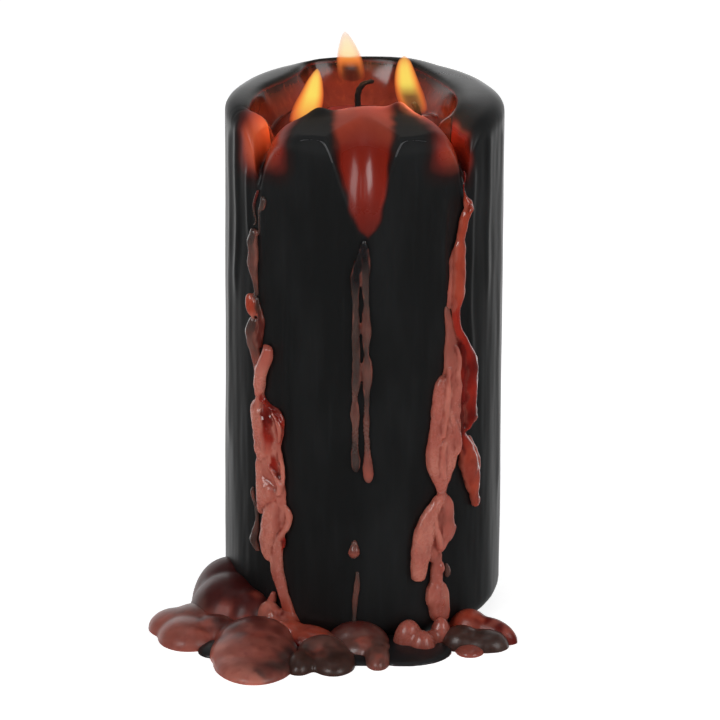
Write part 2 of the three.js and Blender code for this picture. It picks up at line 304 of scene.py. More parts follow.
# ---------------------------------------------------------------- shader maths
class Value:
    """A number or colour in a shader, whose arithmetic adds the nodes that work it out."""

    def __init__(self, graph: "Graph", socket: bpy.types.NodeSocket) -> None:
        """Wrap an output socket."""
        self.graph = graph
        self.socket = socket

    def _math(self, operation: str, first: "Value | float", second: "Value | float") -> "Value":
        """Add a Math node and return its result."""
        return self.graph.node("ShaderNodeMath", {"operation": operation}, {0: first, 1: second})

    def __add__(self, other: "Value | float") -> "Value":
        """Return self + other."""
        return self._math("ADD", self, other)

    def __radd__(self, other: float) -> "Value":
        """Return other + self."""
        return self._math("ADD", other, self)

    def __sub__(self, other: "Value | float") -> "Value":
        """Return self - other."""
        return self._math("SUBTRACT", self, other)

    def __rsub__(self, other: float) -> "Value":
        """Return other - self."""
        return self._math("SUBTRACT", other, self)

    def __mul__(self, other: "Value | float") -> "Value":
        """Return self * other."""
        return self._math("MULTIPLY", self, other)

    def __rmul__(self, other: float) -> "Value":
        """Return other * self."""
        return self._math("MULTIPLY", other, self)

    def __pow__(self, other: "Value | float") -> "Value":
        """Return self to the power of other."""
        return self._math("POWER", self, other)

    def ranged(self, low: float, high: float, to_low: float = 0.0, to_high: float = 1.0) -> "Value":
        """Return self moved from the range low..high to to_low..to_high, held at both ends."""
        inputs = {0: self, 1: low, 2: high, 3: to_low, 4: to_high}
        return self.graph.node("ShaderNodeMapRange", {"clamp": True}, inputs)


class Nodes:
    """The node tree of a material or a world."""

    def __init__(self, owner: bpy.types.ID, output: str) -> None:
        """Empty the owner's tree and add its output node."""
        owner.use_nodes = True
        self.tree = owner.node_tree
        self.tree.nodes.clear()
        self.surface = self.tree.nodes.new(output).inputs["Surface"]

    def _feed(self, socket: bpy.types.NodeSocket, value: object) -> None:
        """Link a Value to a socket, or set the socket to a plain value."""
        if isinstance(value, Value):
            self.tree.links.new(value.socket, socket)
        elif isinstance(value, (tuple, Vector)) and len(socket.default_value) == 4 and len(value) == 3:
            socket.default_value = (*value, 1.0)
        else:
            socket.default_value = value

    def node(self, kind: str, settings: dict, inputs: dict, output: str | int = 0) -> Value:
        """Add any node and return one of its outputs.

        Args:
            kind: The node's type.
            settings: Its own settings, set first; "stops" holds a colour ramp's stops.
            inputs: Plain values or Values for its inputs, by name or number.
            output: The output to return, by name or number.

        Returns:
            The chosen output.
        """
        made = self.tree.nodes.new(kind)
        for key, value in settings.items():
            if key != "stops":
                setattr(made, key, value)
                continue
            stops = made.color_ramp.elements
            while len(stops) < len(value):
                stops.new(0.5)
            for stop, (place, colour) in zip(stops, value):
                stop.position = place
                stop.color = (*colour, 1.0)
        for key, value in inputs.items():
            self._feed(made.inputs[key], value)
        return Value(self, made.outputs[output])

    def ramp(self, stops: tuple, place: Value) -> Value:
        """Return the colour that a colour ramp with these stops has at a place."""
        return self.node("ShaderNodeValToRGB", {"stops": stops}, {0: place})


class Graph(Nodes):
    """A material's nodes, ending in one Principled shader."""

    def __init__(self, name: str) -> None:
        """Start a material with its shader."""
        self.material = bpy.data.materials.new(name)
        super().__init__(self.material, "ShaderNodeOutputMaterial")
        self.shader = self.tree.nodes.new("ShaderNodeBsdfPrincipled")
        self.tree.links.new(self.shader.outputs[0], self.surface)

    def attribute(self, name: str, output: str = "Fac") -> Value:
        """Return a mesh attribute: its Color, Alpha or Fac."""
        return self.node("ShaderNodeAttribute", {"attribute_name": name}, {}, output)

    def place(self, stretch: tuple[float, float, float] = (1.0, 1.0, 1.0)) -> Value:
        """Return Object coordinates in millimetres, multiplied along each axis by stretch."""
        coordinates = self.node("ShaderNodeTexCoord", {}, {}, "Object")
        scale = tuple(factor / MM for factor in stretch)
        return self.node("ShaderNodeMapping", {}, {"Vector": coordinates, "Scale": scale})

    def noise(self, size: float, detail: float = 3.0, stretch: tuple = (1.0, 1.0, 1.0)) -> Value:
        """Return noise from 0 to 1 whose features are about size millimetres."""
        inputs = {"Vector": self.place(stretch), "Scale": 1.0 / size, "Detail": detail}
        return self.node("ShaderNodeTexNoise", {}, inputs, 0)

    def blend(self, factor: "Value | float", first: object, second: object, mode: str = "MIX") -> Value:
        """Return first mixed towards second by factor, both colours."""
        settings = {"data_type": "RGBA", "blend_type": mode}
        return self.node("ShaderNodeMix", settings, {0: factor, 6: first, 7: second}, 2)

    def stained(self, factor: "Value | float", colour: Value, stain: tuple[float, float, float]) -> Value:
        """Return a colour mixed by factor towards itself multiplied by a stain."""
        return self.blend(factor, colour, self.blend(1.0, colour, stain, "MULTIPLY"))

    def bump(self, height: Value, strength: float, depth: float) -> Value:
        """Return a normal from a height of 0 to 1, depth millimetres deep."""
        inputs = {"Height": height, "Strength": strength, "Distance": depth * MM}
        return self.node("ShaderNodeBump", {}, inputs, "Normal")

    def shade(self, **inputs: object) -> bpy.types.Material:
        """Feed the shader, with underscores for the spaces in its input names, and return the material."""
        for key, value in inputs.items():
            self._feed(self.shader.inputs[key.replace("_", " ")], value)
        return self.material


# ---------------------------------------------------------------- finishes
@dataclass(frozen=True)
class RunWax:
    """Wax that ran and set: tinted by the mesh, with redder painted shade in its hollows, wet where it
    pooled.
    """

    roughness: float = 0.32
    wet_roughness: float = 0.10
    translucency: float = 0.22
    mottle: float = 0.16
    relief: float = 0.5
    coat: float = 0.6
    shine: float = 0.5

    def material(self, name: str) -> bpy.types.Material:
        """Build the material.

        Args:
            name: The material's name.

        Returns:
            A material that reads the tint, hollow and wet attributes.
        """
        graph = Graph(name)
        tint = graph.attribute("tint", "Color")
        wet = graph.attribute("tint", "Alpha")
        hollow = graph.attribute("hollow")
        clouds = graph.noise(5.0, 4.0)
        fine = graph.noise(1.1, 3.0)
        patches = graph.noise(3.4, 3.0, (1.0, 1.0, 0.4))
        light = graph.blend(clouds.ranged(0.35, 0.7) * self.mottle, tint, (1.0, 0.78, 0.7), "SOFT_LIGHT")
        worn = graph.stained(patches.ranged(0.48, 0.72) * 0.55, light, (0.62, 0.42, 0.40))
        # painted shade: darker and redder in the hollows
        deep = graph.stained(hollow.ranged(0.2, 1.0) * 0.7, worn, (0.42, 0.12, 0.10))
        colour = graph.stained(wet * 0.35, deep, (0.75, 0.45, 0.4))
        damp = (wet + hollow.ranged(0.3, 1.0) * 0.5 + patches.ranged(0.55, 0.75) * 0.25).ranged(0.0, 1.0)
        rough = self.roughness - damp * (self.roughness - self.wet_roughness) + (fine - 0.5) * 0.10
        relief = graph.bump(graph.noise(2.6, 3.0) * 0.7 + fine * 0.3, self.relief, 0.35)
        return graph.shade(
            Base_Color=colour, Roughness=rough, Normal=relief, Coat_Weight=damp * self.coat,
            Coat_Roughness=0.07, Subsurface_Weight=self.translucency,
            Subsurface_Radius=(1.0, 0.25, 0.16), Subsurface_Scale=3.0 * MM,
            IOR=1.45, Specular_IOR_Level=self.shine,
        )


@dataclass(frozen=True)
class BodyWax:
    """The pillar's wax: a satin black skin melted through to glossy red wax, with a painted glow of flame
    light.
    """

    skin: tuple[float, float, float] = (0.0068, 0.0070, 0.0072)
    smoked: tuple[float, float, float] = (0.016, 0.017, 0.018)
    scorch: tuple[float, float, float] = (0.020, 0.005, 0.004)
    deep: tuple[float, float, float] = (0.120, 0.009, 0.005)
    red: tuple[float, float, float] = (0.290, 0.022, 0.011)
    # painted glow: the orange that flame light shining through the wax would give
    painted_glow: tuple[float, float, float] = (0.560, 0.105, 0.040)
    roughness: float = 0.44
    wet_roughness: float = 0.19

    def material(self, name: str) -> bpy.types.Material:
        """Build the material.

        Args:
            name: The material's name.

        Returns:
            A material that reads the melt, glow and soot attributes, and bowl, which is 0 outside the bowl
            and rises from its edge to its floor.
        """
        graph = Graph(name)
        melt = graph.attribute("melt")
        glow = graph.attribute("glow")
        bowl = graph.attribute("bowl")
        soot = graph.attribute("soot")
        drift = graph.noise(6.0, 3.0)
        streaks = graph.noise(2.4, 3.0, (1.0, 1.0, 0.07))
        bloom = graph.noise(17.0, 3.0, (1.0, 1.0, 0.35))
        fine = graph.noise(0.9, 3.0)
        clouds = bloom.ranged(0.45, 0.75) * 0.55 + streaks.ranged(0.55, 0.8) * 0.25
        skin = graph.blend(clouds, self.skin, self.smoked)
        edge = melt + (drift - 0.5) * 0.10
        scorched = graph.blend(edge.ranged(0.06, 0.38), skin, self.scorch)
        deepened = graph.blend(edge.ranged(0.30, 0.66), scorched, self.deep)
        reddened = graph.blend(edge.ranged(0.60, 1.0), deepened, self.red)
        # painted glow: the base colour turns orange where flame light would shine through the wax
        lit = graph.blend((glow + (drift - 0.5) * 0.12).ranged(0.05, 1.0), reddened, self.painted_glow)
        depths = ((0.0, (0.010, 0.006, 0.005)), (0.16, (0.022, 0.007, 0.005)), (0.34, (0.085, 0.016, 0.009)),
                  (0.62, (0.120, 0.020, 0.013)), (0.82, (0.110, 0.020, 0.015)), (1.0, (0.125, 0.024, 0.018)))
        sides = graph.ramp(depths, bowl + (drift - 0.5) * 0.2)
        streaked = graph.blend(streaks.ranged(0.56, 0.80) * 0.40, sides, (0.240, 0.055, 0.024))
        shaded = graph.blend(streaks.ranged(0.46, 0.28) * 0.4, streaked, (0.050, 0.010, 0.007))
        wax = graph.blend(bowl.ranged(0.02, 0.10), lit, shaded)
        gloss = (
            edge.ranged(0.35, 0.9) * 0.7 * (1.0 - glow * 0.8) + bowl.ranged(0.0, 0.3) * 0.5
        ).ranged(0.0, 1.0)
        rough = self.roughness + (bloom - 0.5) * 0.14 + (fine - 0.5) * 0.05
        rough = rough - gloss * (self.roughness - self.wet_roughness)
        rough = (rough + soot * 0.5 * (1.0 - gloss * 0.2) - 0.04).ranged(0.05, 0.95, 0.05, 0.95)
        relief = graph.bump(streaks * 0.5 + drift * 0.35 + fine * 0.15, 0.20, 0.3)
        # painted glow: the same orange is given off as emission, though the wax is no lamp
        painted_glow_light = graph.blend(1.0, self.painted_glow, (1.0, 0.50, 0.25), "MULTIPLY")
        return graph.shade(
            Base_Color=wax, Roughness=rough, Normal=relief,
            Coat_Weight=gloss * 0.22 * (1.0 - soot), Coat_Roughness=0.09,
            Emission_Color=graph.blend(glow.ranged(0.15, 1.0), (0.0, 0.0, 0.0), painted_glow_light),
            Emission_Strength=0.16, Subsurface_Weight=0.06, Subsurface_Radius=(1.0, 0.2, 0.1),
            Subsurface_Scale=2.0 * MM, IOR=1.42,
        )


@dataclass(frozen=True)
class PlainFinish:
    """A finish with one colour that a little noise varies."""

    colour: tuple[float, float, float]
    roughness: float
    metallic: float = 0.0
    coat: float = 0.0
    grain: float = 1.0
    relief: float = 0.1

    def material(self, name: str) -> bpy.types.Material:
        """Build the material.

        Args:
            name: The material's name.

        Returns:
            The material.
        """
        graph = Graph(name)
        cloud = graph.noise(self.grain, 4.0)
        dark = tuple(part * 0.6 for part in self.colour)
        return graph.shade(
            Base_Color=graph.blend(cloud, dark, self.colour), Roughness=self.roughness + (cloud - 0.5) * 0.1,
            Metallic=self.metallic, Coat_Weight=self.coat, Coat_Roughness=0.04,
            Normal=graph.bump(cloud, 0.4, self.relief),
        )


@dataclass(frozen=True)
class Fire:
    """Burning gas: light only, with no surface of its own, clearest low down in its middle.

    core and edge are colours up the flame, as [place, colour]; veil is how much of what is behind it
    each sheath hides, up the flame; hollow is how clear its foot is, from hollow_top down to hollow_low.
    """

    core: tuple[tuple[float, tuple[float, float, float]], ...]
    edge: tuple[tuple[float, tuple[float, float, float]], ...]
    hollow: float
    hollow_top: float
    hollow_low: float
    veil: tuple[tuple[float, float], ...] = ((0.0, 0.0), (0.12, 0.34), (0.45, 0.46), (0.85, 0.42), (1.0, 0.2))

    def material(self, name: str) -> bpy.types.Material:
        """Build the material.

        Args:
            name: The material's name.

        Returns:
            A material that reads the rise attribute, 0 at the flame's foot and 1 at its tip, and
            the brim attribute, 0 in its middle and 1 at its sides.
        """
        graph = Graph(name)
        rise = graph.attribute("rise")
        brim = graph.attribute("brim")
        core, edge = graph.ramp(self.core, rise), graph.ramp(self.edge, rise)
        veil = graph.ramp(tuple((place, (share,) * 3) for place, share in self.veil), rise)
        hollow = rise.ranged(self.hollow_top, self.hollow_low) * (1.0 - brim * brim)
        return graph.shade(
            Base_Color=(0.0, 0.0, 0.0), Roughness=1.0, Specular_IOR_Level=0.0,
            Alpha=veil * (1.0 - hollow * self.hollow) * (1.0 - brim**8),
            Emission_Color=graph.blend(brim.ranged(0.1, 0.9), core, edge), Emission_Strength=1.0,
        )


# ---------------------------------------------------------------- wax that ran and set
class WaxPiece:
    """Lumps of wax fused into one skin, with dabs of colour.

    voxel is the size of its quads and passes how often they are smoothed. Noise that varies over swell
    millimetres pushes the skin in and out by about roughening; drawn below 1 draws it out up and down.
    """

    voxel = 0.42
    passes = 4
    roughening = 0.34
    swell = 2.8
    drawn = 0.5

    def __init__(self, name: str, nodes: tuple[str, ...], slot: str, seed: int) -> None:
        """Name the piece.

        Args:
            name: The piece's name.
            nodes: The CAD nodes that it stands for.
            slot: Its slot name, which is not used.
            seed: Seed for its random shape.
        """
        self.name = name
        self.nodes = nodes
        self.slot = slot
        self.seed = seed
        self.dabs: list[Dab] = []

    def lumps(self, bm: bmesh.types.BMesh) -> None:
        """Add the piece's closed lumps to bm."""
        raise NotImplementedError

    def tint(self, bm: bmesh.types.BMesh) -> None:
        """Paint the tint, wetness and hollow attributes from the dabs and the shape."""
        tree = kdtree.KDTree(len(self.dabs))
        for number, dab in enumerate(self.dabs):
            tree.insert(dab.centre, number)
        tree.balance()
        colour_layer = bm.verts.layers.float_color.new("tint")
        hollow_layer = bm.verts.layers.float.new("hollow")
        depth = hollows(bm, 3)
        for vert, deep in zip(bm.verts, depth):
            wander = vert.co + 1.2 * Vector(turbulence(vert.co, 4.0, seed) for seed in (3.1, 7.7, 12.3))
            total, red, green, blue, wet = 0.0, 0.0, 0.0, 0.0, 0.0
            for _, number, distance in tree.find_n(wander, 8):
                dab = self.dabs[number]
                weight = 1.0 / (0.02 + (distance / dab.reach) ** 4)
                total += weight
                red += weight * dab.wax.x
                green += weight * dab.wax.y
                blue += weight * dab.wax.z
                wet += weight * dab.wet
            vert[colour_layer] = (red / total, green / total, blue / total, wet / total)
            vert[hollow_layer] = min(1.0, max(0.0, deep / (0.09 * self.voxel)))

    def roughen(self, bm: bmesh.types.BMesh) -> None:
        """Push the skin in and out a little, so that it isn't too even."""
        bm.normal_update()
        for vert in bm.verts:
            point = Vector((vert.co.x, vert.co.y, vert.co.z * self.drawn))
            push = turbulence(point, self.swell, self.seed)
            push += 0.4 * turbulence(point, self.swell * 0.42, self.seed + 5)
            vert.co += vert.normal * push * self.roughening
        bm.normal_update()

    def shape(self) -> bmesh.types.BMesh:
        """Return the fused and roughened skin."""
        bm = bmesh.new()
        self.lumps(bm)
        skin = fused(bm, self.voxel, self.passes)
        self.roughen(skin)
        return skin

    def build(self, material: bpy.types.Material) -> bpy.types.Object:
        """Build the piece.

        Args:
            material: The wax it is made of.

        Returns:
            The finished piece.
        """
        skin = self.shape()
        self.tint(skin)
        return finished(skin, self.name, material, self.nodes)


class WallRun(WaxPiece):
    """Wax that ran down the wall, as strands that overlap; pale_edges is how far their sides turn pale."""

    pale_edges = 0.42

    def __init__(
        self, name: str, nodes: tuple[str, ...], slot: str, seed: int, strands: tuple[Strand, ...]
    ) -> None:
        """Take the strands and dab their colours.

        Args:
            name: The piece's name.
            nodes: The CAD nodes that it stands for.
            slot: Its slot name, which is not used.
            seed: Seed for its random shape.
            strands: The strands.
        """
        super().__init__(name, nodes, slot, seed)
        self.strands = strands
        for strand in strands:
            count = max(4, round(self._length(strand) / 0.8))
            for step in range(count + 1):
                share = step / count
                centre, half_width, depth, bearing = self._section(strand, share)
                wax = Vector(
                    along([SHADES[letter].value[part] for letter in strand.waxes], share)
                    for part in range(3))
                outward = Vector((centre.x, centre.y, 0)).normalized() * depth * 0.6
                wet = along(list(strand.wets), share)
                self.dabs.append(Dab(centre + outward, 0.6 * half_width + 0.4, wax, wet))
                side = math.radians(bearing)
                edge = Vector((math.cos(side), math.sin(side), 0.0)) * half_width
                pale = wax.lerp(Vector(Wax.SALMON.value) * 0.8, self.pale_edges)
                if half_width > 1.1:
                    for brink in (centre + edge, centre - edge):
                        self.dabs.append(Dab(brink, 0.22 * half_width + 0.2, pale, wet))

    @staticmethod
    def _length(strand: Strand) -> float:
        """Return a strand's length down the wall, in millimetres."""
        return sum(
            math.hypot(b[1] - a[1], math.radians(b[0] - a[0]) * RADIUS)
            for a, b in zip(strand.course, strand.course[1:]))

    @staticmethod
    def _section(strand: Strand, share: float) -> tuple[Vector, float, float, float]:
        """Work out a strand's section.

        Args:
            strand: The strand.
            share: How far down it, from 0 to 1.

        Returns:
            The section's centre, half width, half depth and bearing.
        """
        at = share * (len(strand.course) - 1)
        bearing, height, half_width = (eased([row[part] for row in strand.course], at) for part in range(3))
        half_width = max(0.35, half_width)
        depth = half_width * strand.depth
        centre = at_bearing(bearing, wall_radius(height) + strand.lift + 0.35 * depth, height)
        return centre, half_width, depth, bearing

    def lumps(self, bm: bmesh.types.BMesh) -> None:
        """Add every strand as a closed tube with round ends."""
        for number, strand in enumerate(self.strands):
            length = self._length(strand)
            rings = max(10, round(length / 0.5))
            made = bmesh.ops.create_uvsphere(bm, u_segments=22, v_segments=rings, radius=1.0)["verts"]
            for vert in made:
                share = math.acos(max(-1.0, min(1.0, vert.co.z))) / math.pi
                around = math.atan2(vert.co.y, vert.co.x)
                centre, half_width, depth, bearing = self._section(strand, share)
                end = max(0.6, min(half_width, length / 3))
                near = min(1.0, min(share, 1 - share) * length / end)
                cap = math.sqrt(max(0.0, 1 - (1 - near) ** 2))
                spot = Vector((number * 3.1, 3.0 * math.cos(around), centre.z))
                swell = 1 + 0.12 * turbulence(spot, 3.4, self.seed)
                side = math.radians(bearing)
                sideways = Vector((math.cos(side), math.sin(side), 0.0)) * half_width * math.cos(around)
                outward = Vector((math.sin(side), -math.cos(side), 0.0)) * depth * math.sin(around)
                vert.co = centre + (sideways + outward) * cap * swell


class Crease(WallRun):
    """A sharp fold of the skin that catches the light; its pale grey finish is a painted highlight."""

    voxel = 0.16
    passes = 2
    roughening = 0.02


class Puddle(WaxPiece):
    """Wax that set on the table, as domes, each with dabs of colour in a spiral out from its middle."""

    voxel = 0.7
    roughening = 0.12
    swell = 8.0
    drawn = 1.0
    dabs_each = 14
    spiral_turn = 2.4

    def __init__(
        self, name: str, nodes: tuple[str, ...], slot: str, seed: int, passes: int, domes: tuple[Dome, ...],
        stains: tuple[tuple[float, float, float, float, str, float], ...] = ()
    ) -> None:
        """Take the domes and dab their colours.

        Args:
            name: The piece's name.
            nodes: The CAD nodes that it stands for.
            slot: Its slot name, which is not used.
            seed: Seed for its random shape.
            passes: How many times its skin is smoothed.
            domes: The domes.
            stains: More colour, as [x, y, height, reach, wax, wetness].
        """
        super().__init__(name, nodes, slot, seed)
        self.passes = passes
        self.domes = domes
        chance = random.Random(seed)
        for dome in domes:
            wax = Vector(SHADES[dome.wax].value)
            reach = 0.3 * min(dome.half_length, dome.half_width) + 1.0
            for step in range(self.dabs_each):
                turn = step * self.spiral_turn
                out = math.sqrt(step / self.dabs_each)
                spot = Vector(
                    (dome.half_length * out * math.cos(turn), dome.half_width * out * math.sin(turn), 0.0))
                spot.rotate(Matrix.Rotation(math.radians(dome.turn), 3, "Z"))
                spot += Vector((dome.x, dome.y, dome.top * (1 - out**2) ** 0.5))
                shade = 1 + chance.uniform(-0.16, 0.16)
                self.dabs.append(Dab(spot, reach, wax * shade, dome.wet))
        for x, y, height, reach, letter, wet in stains:
            self.dabs.append(Dab(Vector((x, y, height)), reach, Vector(SHADES[letter].value), wet))

    def lumps(self, bm: bmesh.types.BMesh) -> None:
        """Add every dome as a whole ellipsoid, turned, with its middle level with the table."""
        for dome in self.domes:
            made = bmesh.ops.create_uvsphere(bm, u_segments=40, v_segments=24, radius=1.0)["verts"]
            bmesh.ops.scale(bm, vec=(dome.half_length, dome.half_width, dome.top), verts=made)
            bmesh.ops.rotate(bm, matrix=Matrix.Rotation(math.radians(dome.turn), 3, "Z"), verts=made)
            bmesh.ops.translate(bm, vec=(dome.x, dome.y, 0.0), verts=made)

    def shape(self) -> bmesh.types.BMesh:
        """Return the fused domes, cut level with the table."""
        skin = super().shape()
        bmesh.ops.bisect_plane(
            skin, geom=[*skin.verts, *skin.edges, *skin.faces], plane_co=(0, 0, 0.02), plane_no=(0, 0, -1),
            clear_outer=True)
        rim = [edge for edge in skin.edges if edge.is_boundary]
        bmesh.ops.holes_fill(skin, edges=rim, sides=0)
        bmesh.ops.triangulate(skin, faces=[face for face in skin.faces if len(face.verts) > 4])
        skin.normal_update()
        return skin


# ---------------------------------------------------------------- the candle's own body
@dataclass(frozen=True)
class Trough:
    """A groove that spilling wax cut from the bowl out over the wall.

    course holds [x, y, lowest height]; front is 1 where the candle's front lies at +X of it, or -1.
    Its side towards the front is its mound and the other its shoulder. mound_side and shoulder_side
    hold [distance from its bed, share of the way up to the rim]. mound_glow and shoulder_glow hold the
    distances where the melt starts to fade and where it ends, and how bright the painted glow of flame
    light is. mound_narrows is what both distances shrink to at the top, and mound_fade the heights
    that it fades in between.
    """

    course: tuple[tuple[float, float, float], ...]
    front: int
    mound_side: tuple[tuple[float, float], ...] = (
        (0, 0), (0.8, 0.02), (1.6, 0.2), (2.6, 0.4), (4, 0.55), (6, 0.67), (8.5, 0.77), (11.5, 0.87),
        (15, 0.95), (20, 1.02), (26, 1.15))
    shoulder_side: tuple[tuple[float, float], ...] = (
        (0, 0), (0.8, 0.03), (1.3, 0.32), (2.0, 0.58), (3.0, 0.7), (4.5, 0.8), (6.5, 0.9), (9.5, 0.99),
        (14, 1.12))
    mound_glow: tuple[float, float, float] = (7.0, 17.5, 0.40)
    mound_narrows: float = 0.86
    shoulder_glow: tuple[float, float, float] = (4.0, 13.0, 1.0)
    mound_fade: tuple[float, float] = (167.0, 186.0)

    def nearest(self, x: np.ndarray, y: np.ndarray) -> tuple[np.ndarray, np.ndarray, np.ndarray]:
        """Find the nearest place in the groove's bed to each point.

        Args:
            x: Where the points are, in millimetres.
            y: The same, along Y.

        Returns:
            How far each point is from the bed, the bed's height there, and whether the mound is on that side.
        """
        fine = np.linspace(0, len(self.course) - 1, 40)
        line = np.array([[eased([row[i] for row in self.course], at) for i in range(3)] for at in fine])
        best = np.full(x.shape, FAR)
        bed = np.full(x.shape, SKY)
        mound = np.zeros(x.shape, dtype=bool)
        for start, end in zip(line[:-1], line[1:]):
            span = end - start
            share, off_x, off_y = off_segment(x, y, start, end)
            distance = np.hypot(off_x, off_y)
            nearer = distance < best
            bed = np.where(nearer, start[2] + share * span[2], bed)
            mound = np.where(nearer, (span[0] * off_y - span[1] * off_x) * self.front > 0, mound)
            best = np.minimum(best, distance)
        return best, bed, mound

    def heights(self, x: np.ndarray, y: np.ndarray) -> np.ndarray:
        """Return the height of the groove's surface over each point, high above the rim far from it."""
        distance, bed, mound = self.nearest(x, y)
        rise = np.where(
            mound, np.interp(distance, *zip(*self.mound_side)),
            np.interp(distance, *zip(*self.shoulder_side)))
        return bed + (HEIGHT - bed) * rise

    def melted(self, points: np.ndarray) -> tuple[np.ndarray, np.ndarray]:
        """Return how far the groove's heat has melted each point, and its painted glow, both from 0 to 1.

        Args:
            points: One row of X, Y and Z for each point.

        Returns:
            The melt and the painted glow.
        """
        distance, _, mound = self.nearest(points[:, 0], points[:, 1])
        narrowed = np.where(mound, np.interp(points[:, 2], (178.0, 190.0), (1.0, self.mound_narrows)), 1.0)
        start, reach, glow = (
            np.where(mound, on_mound, on_shoulder)
            for on_mound, on_shoulder in zip(self.mound_glow, self.shoulder_glow))
        start, reach = start * narrowed, reach * narrowed
        fade = np.where(
            mound, ramp(*self.mound_fade, points[:, 2]),
            ramp(163.0, 182.0, points[:, 2]) * ramp(192.3, 191.1, points[:, 2]))
        # painted glow of flame light, strongest near the groove
        lit = ramp(0.72 * reach, 1.0, distance) * glow * ramp(168.0, 184.0, points[:, 2])
        return ramp(reach, start, distance) * fade, lit * fade


